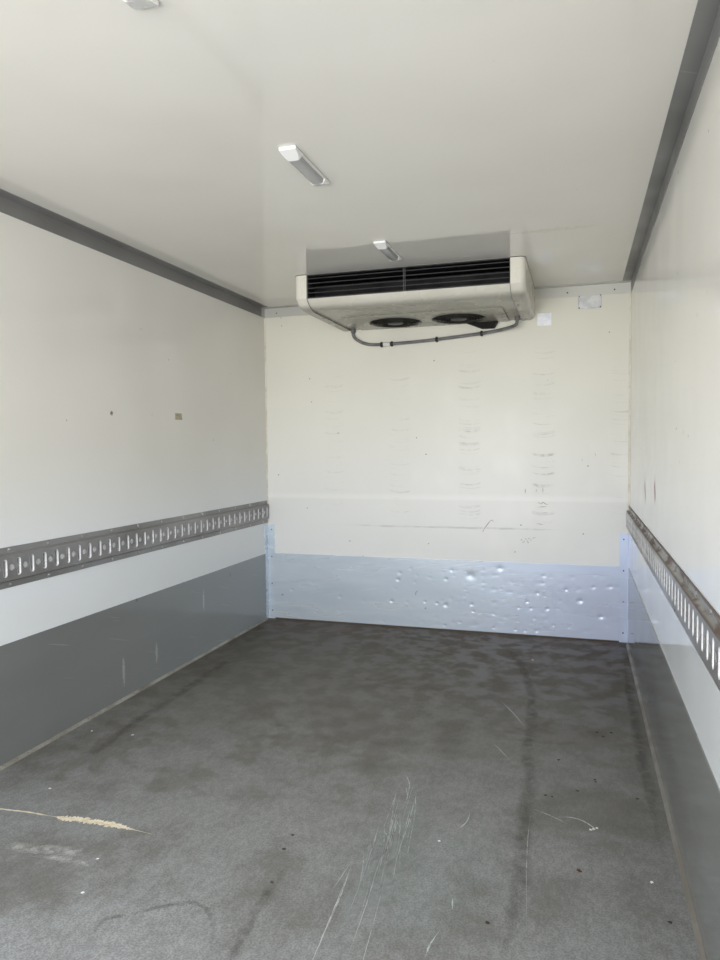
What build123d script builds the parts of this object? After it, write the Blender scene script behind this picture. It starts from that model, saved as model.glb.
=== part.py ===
from build123d import *
import math
import os

# Insulated refrigerated box body of a light truck, off its chassis, in millimetres.
# +X is to the right, +Y is forward and Z is up from the undersides of the runners.
# Pieces are drawn with Y = 0 at the front wall's inner face. save() then shifts them
# along Y, so that the origin lies below the middle of the whole body.

# Load space
inner_length = 4170.0
inner_width = 2070.0
inner_height = 1885.0

# Sandwich panels
side_wall = 65.0
front_wall = 85.0
roof = 85.0
floor_panel = 95.0
deck = 15.0

# Subframe
runner_height = 120.0
runner_width = 60.0
runner_sheet = 5.0
runner_middle = 400.0
bearer_height = 60.0
bearer_width = 50.0
bearer_sheet = 4.0
bearer_count = 10
bearer_inset = 70.0
console_count = 3
console_inset = 560.0
console_length = 120.0
console_height = 90.0
console_foot = 70.0
console_sheet = 8.0
console_drop = 10.0
bolt_radius = 7.0
bolt_spacing = 70.0

# Outer corner profiles
corner_radius = 50.0
lap = 2.5
lap_width = 45.0
sill_rail_height = 60.0
sill_rail_sheet = 3.0

# Rear frame
stop_depth = 30.0
stop_lip_x = 30.0
stop_lip_top = 15.0
pocket_depth = 95.0
post_face = 75.0
sill_drop = 40.0
sill_step = 48.0
header_step = 20.0
door_gap = 8.0
door_gap_middle = 12.0
door_thickness = 80.0
door_chamfer = 5.0
seal_thickness = 10.0
seal_width = 32.0
seal_inset = 5.0

# Hinges
hinge_count = 3
hinge_inset = 170.0
pin_out = 28.0
pin_behind = 30.0
pin_radius = 6.0
pin_play = 0.5
bore_sides = 12
knuckle_radius = 12.0
hinge_sides = 8
strap_height = 40.0
strap_sheet = 10.0
horn_height = 30.0
horn_play = 2.0
hinge_plate = 5.0
hinge_plate_inset = 2.0
strap_plate_length = 130.0
strap_arm = 30.0
open_angle = 270.0

# Lock rods and keepers
rod_radius = 13.5
rod_off_face = 28.0
rod_inset = 180.0
rod_sides = 12
guide_width = 52.0
guide_height = 30.0
guide_depth = 43.0
guide_count = 3
cam_width = 14.0
cam_play = 6.0
cam_reach = 38.0
rod_overrun = 8.0
keeper_height = 36.0
keeper_sheet = 5.0
keeper_ear = 15.0
keeper_depth = 32.0
handle_length = 380.0
handle_height = 26.0
handle_sheet = 14.0
handle_bevel = 6.5
handle_level = 800.0
handle_rest = 300.0
handle_rest_width = 30.0

# Rear buffers and marker lamps
buffer_size = (90.0, 60.0, 80.0)
buffer_inset = 160.0
buffer_chamfer = 12.0
marker_size = (100.0, 12.0, 30.0)
end_marker_size = (60.0, 14.0, 30.0)
marker_inset = 5.0
marker_bevel = 4.0
side_marker_count = 3
side_marker_front = 500.0
side_marker_rear = 150.0

# Inside trim
cove_wall_leg = 56.0
cove_roof_leg = 44.0
cove_sheet = 2.0
scuff_height = 404.0
scuff_sheet = 3.0
guard_leg = 45.0
guard_height = 578.0
bead = 10.0
trim_play = 0.3

# Load rails
rail_level = 590.0
rail_height = 136.0
rail_flange = 20.0
rail_slope = 6.0
rail_rise = 11.0
rail_sheet = 2.5
rail_start = 8.0
slot_pitch = 60.0
slot_length = 54.0
slot_width = 12.0
hole_radius = 11.0
hole_sides = 6

# Ceiling lamps
lamp_count = 3
lamp_first = 985.0
lamp_pitch = 950.0
lamp_across = 2.0
lamp_length = 285.0
lamp_width = 50.0
lamp_height = 22.0
lens_length = 190.0
lens_width = 40.0
lamp_end_height = 9.0
lamp_tray = 8.0
lamp_round = 15.0
lens_round = 12.0

# Evaporator under the ceiling
evap_width = 1104.0
evap_depth = 700.0
evap_height = 165.0
evap_front_height = 115.0
evap_flat = 590.0
evap_cap = 67.0
evap_sheet = 3.0
evap_round = 30.0
evap_panel_step = 6.0
evap_panel_bevel = 5.4
evap_panel_width = 840.0
evap_panel_depth = 385.0
evap_fan_across = 172.0
evap_fan_back = 190.0
evap_fan_radius = 129.0
evap_coil_front = 585.0
evap_coil_back = 410.0
evap_coil_top = 33.0
grille_depth = 24.0
grille_bar = 9.0
grille_louvres = 4
grille_louvre_sheet = 3.0
louvre_rise = 0.25
grille_clip = 10.0
grille_recess = 6.0

# Drain hose on the front wall
hose_radius = 9.0
hose_sides = 8
hose_off_wall = 20.0
hose_end_inset = 17.0
hose_drop = 98.0
hose_forward = 92.0
hose_bend_limit = 250.0
hose_bend_share = 0.45
clip_length = 12.0
clip_wall = 4.0
clip_foot = 16.0
# Shares of the way along the hose's middle line
clip_places = (0.2123, 0.2697, 0.5135, 0.7486)
coupling_place = 0.241
coupling_length = 44.0
coupling_radius = 13.0

# Refrigerant pipes through the front wall, and the foam block round them. Their places
# across the body are measured in from the right end cap's inner face.
pipe_radius = 12.0
pipe_sides = 12
pipe_play = 0.5
pipe_insets = (200.0, 163.0)
pipe_start = 21.0
pipe_below_pan = 17.0
foam_top_insets = (295.0, 125.0)
foam_low_insets = (213.0, 145.0)
foam_drop = 33.0
foam_depth = 42.0

# Condensing unit on the outside of the front wall
cond_width = 1300.0
cond_depth = 260.0
cond_height = 480.0
cond_below_top = 140.0
cond_sheet = 4.0
cond_round = 60.0
cond_base_sheet = 6.0
cond_leg_width = 48.0
cond_fan_inset = 320.0
cond_fan_level = 245.0
cond_fan_radius = 147.0
cond_coil_depth = 60.0
cond_coil_off_wall = 25.0
intake_width = 1120.0
intake_low = 10.0
intake_height = 52.0
intake_louvres = 3
cond_leg = 110.0
vent_count = 5
vent_pitch = 34.0
vent_height = 12.0
vent_length = 130.0
vent_off_wall = 104.0

# Fans, guards and motors, the same kind in both units
fan_opening_play = 8.0
opening_sides = 24
fan_height = 34.0
fan_hub_radius = 42.0
fan_blades = 5
fan_blade_sheet = 3.0
fan_blade_tilt = 18.0
fan_root_angle = 30.0
fan_tip_angle = 19.0
fan_hub_gap = 6.0
motor_radius = 44.0
motor_sides = 12
motor_below = 10.0
motor_above = 12.0
shaft_radius = 6.0
shaft_sides = 8
shaft_play = 0.3
shaft_in_hub = 27.0
guard_ring = 12.0
guard_sides = 16
guard_sheet = 4.0
guard_spokes = 4
guard_spoke = 8.0

# Two places closer than this are the same place
same_place = 0.01

# Places worked out from the sizes above
x_in = inner_width / 2
x_out = x_in + side_wall
z_bearer = runner_height
z_panel = z_bearer + bearer_height
z_deck = z_panel + floor_panel
z_floor = z_deck + deck
z_ceiling = z_floor + inner_height
z_top = z_ceiling + roof
y_back = -inner_length
y_stop = y_back - stop_depth
y_rear = y_stop - pocket_depth
door_outer = y_rear
door_inner = door_outer + door_thickness
pocket_x = x_out - post_face
z_pocket_low = z_floor - sill_step
z_pocket_high = z_ceiling - stop_lip_top + header_step
door_x = (door_gap_middle / 2, pocket_x - door_gap)
door_z = (z_pocket_low + door_gap, z_pocket_high - door_gap)
pin_x = x_out + pin_out
pin_y = y_rear - pin_behind
front_face = front_wall + cond_depth
nose_reach = front_face + motor_above
cond_fan_across = cond_width / 2 - cond_fan_inset
rear_reach = -y_rear + max(buffer_size[1], pin_behind + knuckle_radius)
z_pan = z_ceiling - evap_height + evap_panel_step
z_fans = z_ceiling - evap_height
pipe_level = z_fans - pipe_below_pan
evap_inside = evap_width / 2 - evap_cap
pipe_places = [evap_inside - inset for inset in pipe_insets]
foam_top = [evap_inside - inset for inset in foam_top_insets]
foam_low = [evap_inside - inset for inset in foam_low_insets]
y_shift = (rear_reach - nose_reach) / 2


def block(x, y, z):
    """Box between the low and high value of each axis."""
    spans = [sorted(pair) for pair in (x, y, z)]
    middle = [(low + high) / 2 for low, high in spans]
    return Pos(*middle) * Box(*[high - low for low, high in spans])


def outline(*points):
    """Flat face inside a closed run of straight sides."""
    return make_face(Polyline(*points, close=True))


def rectangle(low, high):
    """Flat rectangle between its low and its high corner."""
    return outline(low, (high[0], low[1]), high, (low[0], high[1]))


def rounded(low, high):
    """Rectangle whose high corner has the body's outer radius."""
    face = rectangle(low, high)
    corner = face.vertices().sort_by(lambda point: point.X + point.Y)[-1]
    return fillet(corner, corner_radius)


def polygon(flat_radius, sides):
    """Many-sided face whose flats lie at a radius, with a flat on its +X side."""
    return RegularPolygon(flat_radius, sides, major_radius=False, rotation=180 / sides)


def back_from(face, start, length):
    """Prism of an (x, z) face that runs back from y = start."""
    return Pos(0, start, 0) * extrude(Plane.XZ * face, length)


def across(face, low, high):
    """Prism of a (y, z) face between two values of x."""
    return Pos(low, 0, 0) * extrude(Plane.YZ * face, high - low)


def upright(face, low, high):
    """Prism of an (x, y) face between two levels."""
    return Pos(0, 0, low) * extrude(face, high - low)


def other_side(piece):
    """The same piece on the left of the body."""
    return mirror(piece, about=Plane.YZ)


def both_sides(piece):
    """The piece and its mirror image."""
    return [piece, other_side(piece)]


def spread(first, last, count):
    """Evenly spaced places from first to last."""
    return [first + (last - first) * step / (count - 1) for step in range(count)]


def edges_along(piece, axis, place, side):
    """Edges parallel to an axis whose middles lie at a place on another axis."""
    edges = piece.edges().filter_by(axis)
    return [edge for edge in edges if abs(place(edge.center()) - side) < same_place]


def save(name, *pieces):
    """Write one node, moved so that the origin is below the body's middle."""
    solids = []
    for piece in pieces:
        for item in piece if isinstance(piece, (list, tuple)) else [piece]:
            solids.extend(item.solids())
    export_step(Pos(0, y_shift, 0) * Compound(solids), f"parts/{name}.step")


# Shell panels
def make_shell():
    """Floor, deck, walls and roof, each as thick as the real sandwich panel."""
    length = (y_back, 0)
    save("floor_panel", block((-x_in, x_in), length, (z_panel, z_deck)))
    save("floor_deck", block((-x_in, x_in), length, (z_deck, z_floor)))
    wall = block((x_in, x_out), length, (z_panel, z_ceiling))
    save("wall_right", wall)
    save("wall_left", other_side(wall))
    save("roof_panel", block((-x_in, x_in), length, (z_ceiling, z_top)))
    front = block((-x_in, x_in), (0, front_wall), (z_panel, z_ceiling))
    for place in pipe_places:
        hole = Pos(place, pipe_level) * polygon(pipe_radius + pipe_play, pipe_sides)
        front -= back_from(hole, front_wall, front_wall)
    save("front_wall", front)


# Outer profiles
def make_corner_profiles():
    """Rounded extrusions that close the shell's corners and lap over its skins."""
    high = z_top + lap
    out = x_out + lap
    fore = front_wall + lap
    rail = rounded((x_in, z_ceiling), (out, high))
    rail += rectangle((x_in - lap_width, z_top), (x_in, high))
    rail += rectangle((x_out, z_ceiling - lap_width), (out, z_ceiling))
    save("roof_rails", both_sides(back_from(rail, 0, inner_length)))

    nose = rounded((0, z_ceiling), (fore, high))
    nose += rectangle((front_wall, z_ceiling - lap_width), (fore, z_ceiling))
    nose = across(nose, -x_in, x_in)
    back_lap = rectangle((-lap_width, z_top), (0, high))
    save("nose_rail", nose + across(back_lap, -x_in + lap_width, x_in - lap_width))

    cap = block((x_in, out), (0, fore), (z_ceiling, high))
    corner = edges_along(cap, Axis.Z, lambda p: p.X + p.Y, out + fore)
    corner += edges_along(cap, Axis.Y, lambda p: p.X + p.Z, out + high)
    corner += edges_along(cap, Axis.X, lambda p: p.Y + p.Z, fore + high)
    post = upright(rounded((x_in, 0), (out, fore)), z_panel, z_ceiling) + fillet(corner, corner_radius)
    lap_high = z_ceiling - lap_width
    post += block((x_in - lap_width, x_in), (front_wall, fore), (z_panel, lap_high))
    post += block((x_out, out), (-lap_width, 0), (z_panel, lap_high))
    save("front_posts", both_sides(post))

    sheet = sill_rail_sheet
    low = z_panel - sheet
    sill = rectangle((x_in, low), (x_out + sheet, z_panel))
    sill += rectangle((x_out, low), (x_out + sheet, low + sill_rail_height))
    save("sill_rails", both_sides(back_from(sill, -lap_width, inner_length - lap_width)))


# Rear frame
def make_rear_frame():
    """Posts, header and sill with a rebate that the closed doors lie in."""
    low = z_panel - sill_drop
    stop_x = x_in - stop_lip_x
    z_stop_high = z_ceiling - stop_lip_top
    stop = (y_stop, y_back)
    pocket = (y_rear, y_stop)
    post = block((stop_x, x_out), stop, (low, z_top)) + block((pocket_x, x_out), pocket, (low, z_top))
    save("rear_posts", both_sides(post))
    header = block((-stop_x, stop_x), stop, (z_stop_high, z_top))
    header += block((-pocket_x, pocket_x), pocket, (z_pocket_high, z_top))
    save("rear_header", header)
    sill = block((-stop_x, stop_x), stop, (low, z_floor))
    sill += block((-pocket_x, pocket_x), pocket, (low, z_pocket_low))
    save("rear_sill", sill)
    width, depth, height = buffer_size
    buffer = block((x_out - buffer_inset - width, x_out - buffer_inset), (y_rear - depth, y_rear),
                   (low, low + height))
    buffer = chamfer(buffer.faces().sort_by(Axis.Y)[0].edges(), buffer_chamfer)
    save("dock_buffers", both_sides(buffer))


def hinge_levels():
    """Heights of a door's hinges."""
    return spread(door_z[0] + hinge_inset, door_z[1] - hinge_inset, hinge_count)


def keeper_levels():
    """Lowest level of the sill's keeper and of the header's."""
    return (z_pocket_low - rod_overrun - keeper_height, z_pocket_high + rod_overrun)


def make_frame_fittings():
    """Hinge brackets with their pins, and the keepers that the lock rods' cams enter."""
    plate = ((pocket_x + hinge_plate, x_out - hinge_plate_inset), (y_rear - hinge_plate, y_rear))
    low = strap_height / 2 + horn_play
    high = low + horn_height
    bracket = block(*plate, (-high, high))
    root = rectangle((plate[0][1] - 2 * knuckle_radius, plate[1][0]), (plate[0][1], plate[1][1]))
    knuckle = Pos(pin_x, pin_y) * polygon(knuckle_radius, hinge_sides)
    horn = make_hull([*knuckle.edges(), *root.edges()])
    bracket += upright(horn, low, high)
    bracket += upright(horn, -high, -low)
    bracket += upright(Pos(pin_x, pin_y) * RegularPolygon(pin_radius, bore_sides), -low, low)
    hinges = [Pos(0, 0, level) * bracket for level in hinge_levels()]
    save("hinge_brackets", *[both_sides(hinge) for hinge in hinges])

    half_slot = cam_width / 2 + cam_play
    reach = half_slot + keeper_ear
    keepers = []
    for level in keeper_levels():
        tall = (level, level + keeper_height)
        keeper = block((rod_inset - reach, rod_inset + reach), (y_rear - keeper_sheet, y_rear), tall)
        for side in (-1, 1):
            inner = rod_inset + side * half_slot
            keeper += block((inner, inner + side * keeper_sheet), (y_rear - keeper_depth, y_rear), tall)
        keepers.append(keeper)
    save("lock_keepers", *[both_sides(keeper) for keeper in keepers])


def opened(piece):
    """A closed right door's piece, swung about the hinge pins to lie along the wall."""
    pins = Axis((pin_x, pin_y, 0), (0, 0, 1))
    return piece.rotate(pins, open_angle)


def save_pair(name, pieces):
    """Write the right door's node and its mirror image on the left door."""
    turned = [opened(piece) for piece in pieces]
    save(f"{name}_right", turned)
    save(f"{name}_left", [other_side(piece) for piece in turned])


def make_lock():
    """Lock rod with its guides, handle and the cams at its two ends."""
    rod_y = y_rear - rod_off_face
    sill_keeper, header_keeper = keeper_levels()
    low = sill_keeper + keeper_height + rod_overrun / 2
    high = header_keeper - rod_overrun / 2
    rod = upright(Pos(rod_inset, rod_y) * polygon(rod_radius, rod_sides), low, high)
    cam_x = (rod_inset - cam_width / 2, rod_inset + cam_width / 2)
    cam_y = (y_rear - keeper_sheet - cam_play, rod_y - rod_radius)
    rod += block(cam_x, cam_y, (low - cam_reach, low + rod_overrun))
    rod += block(cam_x, cam_y, (high - rod_overrun, high + cam_reach))
    for level in spread(door_z[0] + hinge_inset, door_z[1] - hinge_inset, guide_count):
        guide = block((rod_inset - guide_width / 2, rod_inset + guide_width / 2),
                      (y_rear - guide_depth, y_rear), (level - guide_height / 2, level + guide_height / 2))
        rod += chamfer(edges_along(guide, Axis.Z, lambda p: p.Y, y_rear - guide_depth), rod_radius)
    level = z_floor + handle_level
    half = handle_height / 2
    grip = rectangle((rod_inset, level - half), (rod_inset + handle_length, level + half))
    grip = chamfer(grip.vertices().sort_by(Axis.X)[-2:], handle_bevel)
    rod += back_from(grip, rod_y + handle_sheet / 2, handle_sheet)
    rest_x = rod_inset + handle_rest
    rod += block((rest_x, rest_x + handle_rest_width), (rod_y, y_rear), (level - 2 * half, level + 2 * half))
    return rod


def seal_face(inset):
    """Upright rectangle that lies within a closed leaf's inner face."""
    return rectangle((door_x[0] + inset, door_z[0] + inset), (door_x[1] - inset, door_z[1] - inset))


def make_doors():
    """Two insulated leaves with seals, hinge straps and lock rods, folded wide open."""
    leaf = block(door_x, (door_outer, door_inner), door_z)
    leaf = chamfer(leaf.faces().sort_by(Axis.Y)[0].edges(), door_chamfer)
    save_pair("door_leaf", [leaf])

    ring = seal_face(seal_inset) - seal_face(seal_inset + seal_width)
    save_pair("door_seal", [back_from(ring, door_inner + seal_thickness, seal_thickness)])

    straps = []
    arm_y = pin_y + knuckle_radius - strap_sheet
    half = strap_height / 2
    plate_end = door_x[1] - door_gap
    knuckle = Pos(pin_x, pin_y) * polygon(knuckle_radius, hinge_sides)
    bore = Pos(pin_x, pin_y) * polygon(pin_radius + pin_play, bore_sides)
    for level in hinge_levels():
        tall = (level - half, level + half)
        strap = block((plate_end - strap_plate_length, plate_end), (y_rear - hinge_plate, y_rear), tall)
        strap += block((plate_end - strap_arm, plate_end), (arm_y, y_rear), tall)
        strap += block((plate_end - strap_sheet, pin_x), (arm_y, arm_y + strap_sheet), tall)
        strap += upright(knuckle, *tall)
        straps.append(strap - upright(bore, *tall))
    save_pair("door_fittings", [*straps, make_lock()])


# Inside trim
def make_trim():
    """Ceiling coves, scuff plates, corner guards and the sealant bead round the floor."""
    sheet = cove_sheet
    cove = outline((x_in, z_ceiling), (x_in - cove_roof_leg, z_ceiling),
                   (x_in - cove_roof_leg, z_ceiling - sheet), (x_in - sheet, z_ceiling - sheet),
                   (x_in - sheet, z_ceiling - cove_wall_leg), (x_in, z_ceiling - cove_wall_leg))
    sides = both_sides(back_from(cove, 0, inner_length))
    front = outline((0, z_ceiling), (-cove_roof_leg, z_ceiling), (-cove_roof_leg, z_ceiling - sheet),
                    (-sheet, z_ceiling - sheet), (-sheet, z_ceiling - cove_wall_leg),
                    (0, z_ceiling - cove_wall_leg))
    front = across(front, evap_width / 2 + trim_play, x_in - cove_roof_leg - trim_play)
    wall_leg = rectangle((-sheet, z_ceiling - cove_wall_leg), (0, z_ceiling - sheet - trim_play))
    front += across(wall_leg, x_in - cove_roof_leg - trim_play, x_in - sheet - trim_play)
    save("ceiling_coves", sides, both_sides(front))

    tall = (z_floor, z_floor + scuff_height)
    plate = block((x_in - scuff_sheet, x_in), (y_back, -guard_leg - trim_play), tall)
    save("side_scuffs", both_sides(plate))
    reach = x_in - guard_leg - trim_play
    save("front_scuff", block((-reach, reach), (-scuff_sheet, 0), tall))

    leg, sheet = guard_leg, scuff_sheet
    guard = outline((x_in, 0), (x_in - leg, 0), (x_in - leg, -sheet), (x_in - sheet, -sheet),
                    (x_in - sheet, -leg), (x_in, -leg))
    save("corner_guards", both_sides(upright(guard, z_floor, z_floor + guard_height)))

    face = x_in - scuff_sheet
    side = outline((face, z_floor), (face - bead, z_floor), (face, z_floor + bead))
    front = outline((-scuff_sheet, z_floor), (-scuff_sheet - bead, z_floor), (-scuff_sheet, z_floor + bead))
    start = guard_leg + trim_play
    side = both_sides(back_from(side, -start, inner_length - start))
    save("floor_beads", side, across(front, -reach, reach))


def make_load_rails():
    """Hat-section rails, pierced by upright slots with a round hole between each two."""
    low = z_floor + rail_level
    high = low + rail_height
    face = x_in - rail_sheet
    web = x_in - rail_rise
    bend = rail_sheet / 2
    step = rail_flange + rail_slope
    count = int((inner_length - 2 * rail_start) // slot_pitch)
    length = count * slot_pitch

    legs = []
    for edge, way in ((low, 1), (high, -1)):
        leg = outline((x_in, edge), (face, edge), (face, edge + way * rail_flange),
                      (web - rail_sheet, edge + way * step), (web - rail_sheet, edge + way * (step + bend)),
                      (web, edge + way * (step + bend)), (x_in, edge + way * (rail_flange + bend)))
        legs.append(back_from(leg, -rail_start, length))

    middle = (low + high) / 2
    half = rail_height / 2 - step - bend
    start = -rail_start
    plate = rectangle((start - length, middle - half), (start, middle + half))
    slot = rectangle((-slot_width / 2, -slot_length / 2), (slot_width / 2, slot_length / 2))
    hole = polygon(hole_radius, hole_sides)
    cuts = [Pos(start - slot_pitch * (place + 0.5), middle) * slot for place in range(count)]
    cuts += [Pos(start - slot_pitch * place, middle) * hole for place in range(1, count)]
    pierced = Face(plate.face().outer_wire(), [cut.face().outer_wire() for cut in cuts])
    rail = across(pierced, web - rail_sheet, web) + legs
    save("load_rails", both_sides(rail))


def lamp_bar(width, top, radius, length):
    """Bar along Y whose two lower edges are rounded, from the top down to the lamp's full drop."""
    face = rectangle((-width / 2, -lamp_height), (width / 2, top))
    face = fillet(face.vertices().sort_by(Axis.Y)[:2], radius)
    return back_from(face, length / 2, length)


def make_lamps():
    """Surface lamps on the ceiling: round-bellied bars with slanted ends and a lens between them."""
    half, lens = lamp_length / 2, lens_length / 2
    ends = outline((-half, 0), (-half, -lamp_end_height), (-lens, -lamp_height), (-lens, -lamp_tray),
                   (lens, -lamp_tray), (lens, -lamp_height), (half, -lamp_end_height), (half, 0))
    base = lamp_bar(lamp_width, 0, lamp_round, lamp_length) & across(ends, -lamp_width / 2, lamp_width / 2)
    cover = lamp_bar(lens_width, -lamp_tray, lens_round, lens_length)
    places = [Pos(lamp_across, -lamp_first - lamp_pitch * step, z_ceiling) for step in range(lamp_count)]
    save("lamp_bases", [place * base for place in places])
    save("lamp_lenses", [place * cover for place in places])


# Fans
def fan_parts(radius):
    """A guard with its motor and a rotor on the motor's shaft, with the open side up at Z = 0."""
    opening = radius + fan_opening_play
    ring = polygon(opening + guard_ring / 2, guard_sides) - polygon(opening - guard_ring / 2, guard_sides)
    guard = extrude(ring, guard_sheet)
    spoke = block((shaft_radius, opening), (-guard_spoke / 2, guard_spoke / 2), (0, guard_sheet))
    for turn in range(guard_spokes):
        guard += Rot(0, 0, 360 * (turn + 0.5) / guard_spokes) * spoke
    hub_top = -motor_below - fan_hub_gap
    guard += upright(polygon(motor_radius, motor_sides), -motor_below, motor_above)
    guard += upright(RegularPolygon(shaft_radius, shaft_sides), hub_top - shaft_in_hub, -motor_below)

    rotor = upright(polygon(fan_hub_radius, 2 * fan_blades), hub_top - fan_height, hub_top)
    root, tip = fan_hub_radius - fan_blade_sheet, radius
    root_half, tip_half = math.radians(fan_root_angle), math.radians(fan_tip_angle)
    inner = (root * math.cos(root_half), root * math.sin(root_half))
    outer = (tip * math.cos(tip_half), tip * math.sin(tip_half))
    blade = make_face([Line((inner[0], -inner[1]), (outer[0], -outer[1])),
                       ThreePointArc((outer[0], -outer[1]), (tip, 0), outer),
                       Line(outer, inner), Line(inner, (inner[0], -inner[1]))])
    blade = Rot(fan_blade_tilt, 0, 0) * extrude(blade, fan_blade_sheet / 2, both=True)
    for turn in range(fan_blades):
        rotor += Rot(0, 0, 360 * turn / fan_blades) * Pos(0, 0, hub_top - fan_height / 2) * blade
    bore = polygon(shaft_radius + shaft_play, shaft_sides)
    rotor -= upright(bore, hub_top - shaft_in_hub - shaft_play, hub_top)
    return guard, rotor


def louvre_panel(width, height, depth, count, sheet, clip):
    """Flat grille: a frame with slanted louvres and a clip across its middle, front at Y = 0."""
    bar = grille_bar
    panel = block((-width / 2, width / 2), (-depth, 0), (0, bar))
    panel += block((-width / 2, width / 2), (-depth, 0), (height - bar, height))
    for side in (-1, 1):
        panel += block((side * width / 2, side * (width / 2 - bar)), (-depth, 0), (0, height))
    pitch = (height - 2 * bar) / count
    rise = louvre_rise * pitch
    for step in range(count):
        low = bar + pitch * (step + 0.5)
        slat = outline((0, low - rise), (-depth, low + rise), (-depth, low + rise + sheet),
                       (0, low - rise + sheet))
        panel += across(slat, -width / 2 + bar, width / 2 - bar)
    if clip:
        panel += block((-clip / 2, clip / 2), (-depth / 2, 0), (0, height))
    return panel


# Evaporator
def evap_side(inset):
    """Side view of the evaporator's underside, raised by an inset: flat, then an arc up to the lip."""
    low = z_ceiling - evap_height + inset
    lip = (-evap_depth + inset, z_ceiling - evap_front_height)
    bend = (-evap_flat, low)
    fall, run = lip[1] - low, bend[0] - lip[0]
    radius = (run * run + fall * fall) / (2 * fall)
    half = math.asin(run / radius) / 2
    middle = (bend[0] - radius * math.sin(half), low + radius * (1 - math.cos(half)))
    return (0, low), bend, middle, lip


def make_evaporator():
    """Slim ceiling unit: rounded pan with a fan panel, end caps, outlet grille, coil and two fans."""
    inside, half, top = evap_inside, evap_width / 2, z_ceiling
    start, bend, middle, lip = evap_side(evap_panel_step)
    inner_start, inner_bend, inner_middle, inner_lip = evap_side(evap_panel_step + evap_sheet)
    pan = make_face([Line(start, bend), ThreePointArc(bend, middle, lip), Line(lip, inner_lip),
                     ThreePointArc(inner_lip, inner_middle, inner_bend), Line(inner_bend, inner_start),
                     Line(inner_start, start)])
    pan = across(pan, -inside, inside)
    panel = block((-evap_panel_width / 2, evap_panel_width / 2), (-evap_panel_depth, 0), (z_fans, z_pan))
    front = edges_along(panel, Axis.X, lambda p: p.Y + p.Z, -evap_panel_depth + z_fans)
    pan += chamfer(front, evap_panel_bevel)
    opening = evap_fan_radius + fan_opening_play
    for side in (-1, 1):
        pan -= upright(Pos(side * evap_fan_across, -evap_fan_back) * polygon(opening, opening_sides),
                       z_fans, z_pan + evap_sheet)
    save("evap_cover", pan)

    start, bend, middle, lip = evap_side(0)
    cap = make_face([Line(start, bend), ThreePointArc(bend, middle, lip), Line(lip, (-evap_depth, top)),
                     Line((-evap_depth, top), (0, top)), Line((0, top), start)])
    cap = across(cap, inside, half)
    rim = [edge for edge in cap.faces().sort_by(Axis.X)[-1].edges()
           if edge.center().Z < top - same_place and edge.center().Y < -same_place]
    save("evap_ends", both_sides(fillet(rim, evap_round)))

    grille = louvre_panel(2 * inside, evap_front_height, grille_depth, grille_louvres,
                          grille_louvre_sheet, grille_clip)
    seat = Pos(0, -evap_depth + grille_recess, top - evap_front_height) * Rot(0, 0, 180)
    save("evap_grille", seat * grille)

    save("evap_coil", block((-inside, inside), (-evap_coil_front, -evap_coil_back),
                            (inner_start[1], top - evap_coil_top)))

    guard, rotor = fan_parts(evap_fan_radius)
    seat = Pos(evap_fan_across, -evap_fan_back, z_fans) * Rot(180, 0, 0)
    save("evap_fan_guards", both_sides(seat * guard))
    save("evap_fan_right", seat * rotor)
    save("evap_fan_left", other_side(seat * rotor))


# Hose and pipes
def hose_route():
    """Corners of the drain hose's middle line, from the left end of the evaporator's pan to the right.

    The columns are shares: of the reach to the right, of the way off the wall and of the drop.
    """
    shares = ((-1, 0, 0), (-1, 0, 0.5), (-0.863, 0, 0.888), (-0.705, 0, 1), (-0.154, 0, 0.929),
              (0.321, 0, 0.765), (0.641, 0, 0.643), (0.829, 0.152, 0.531), (0.966, 0.587, 0.449),
              (1, 1, 0.378), (1, 1, 0))
    reach = evap_inside - hose_end_inset
    return [Vector(reach * right, -hose_off_wall - hose_forward * off, z_pan - hose_drop * drop)
            for right, off, drop in shares]


def hose_bends(route):
    """Each corner's radius, as large as its two straight runs allow."""
    radii = []
    for before, here, after in zip(route, route[1:], route[2:]):
        first, second = here - before, after - here
        turn = math.radians(first.get_angle(second))
        widest = hose_bend_share * min(first.length, second.length) / math.tan(turn / 2)
        radii.append(min(widest, hose_bend_limit))
    return radii


def on_hose(line, share):
    """Place at a share of the hose's middle line, turned along it."""
    ahead = line % share
    slope = math.degrees(math.atan2(ahead.Z, ahead.X))
    return Pos(*(line @ share)) * Rot(0, -slope, 0)


def make_hose_and_pipes():
    """Drain hose in its clips, and the two pipes that go through the wall out of a foam block."""
    route = hose_route()
    line = FilletPolyline(*route, radius=hose_bends(route))
    section = Plane(origin=line @ 0, z_dir=line % 0) * RegularPolygon(hose_radius, hose_sides)
    hose = sweep(section, path=line)
    print("hose length", round(line.length), "volume by length", round(section.area * line.length),
          "volume", round(hose.volume))
    save("drain_hose", hose)

    bore = polygon(hose_radius + trim_play, hose_sides)
    ring = polygon(hose_radius + trim_play + clip_wall, hose_sides) - bore
    width = (-clip_length / 2, clip_length / 2)
    clip = across(ring, *width)
    foot = (hose_radius + clip_wall, hose_off_wall - trim_play)
    clip += block(width, foot, (-clip_foot / 2, clip_foot / 2))
    clips = [on_hose(line, share) * clip for share in clip_places]
    sleeve = polygon(coupling_radius, 2 * hose_sides) - bore
    sleeve = across(sleeve, -coupling_length / 2, coupling_length / 2)
    save("hose_clips", clips, on_hose(line, coupling_place) * sleeve)

    foam = outline((foam_top[0], z_fans), (foam_top[1], z_fans),
                   (foam_low[1], z_fans - foam_drop), (foam_low[0], z_fans - foam_drop))
    pipes = back_from(foam, 0, foam_depth)
    coil_back = front_wall + cond_coil_off_wall
    for place in pipe_places:
        pipe = Pos(place, pipe_level) * polygon(pipe_radius, pipe_sides)
        pipes += back_from(pipe, coil_back, coil_back + pipe_start)
    save("insulated_pipes", pipes)


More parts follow.
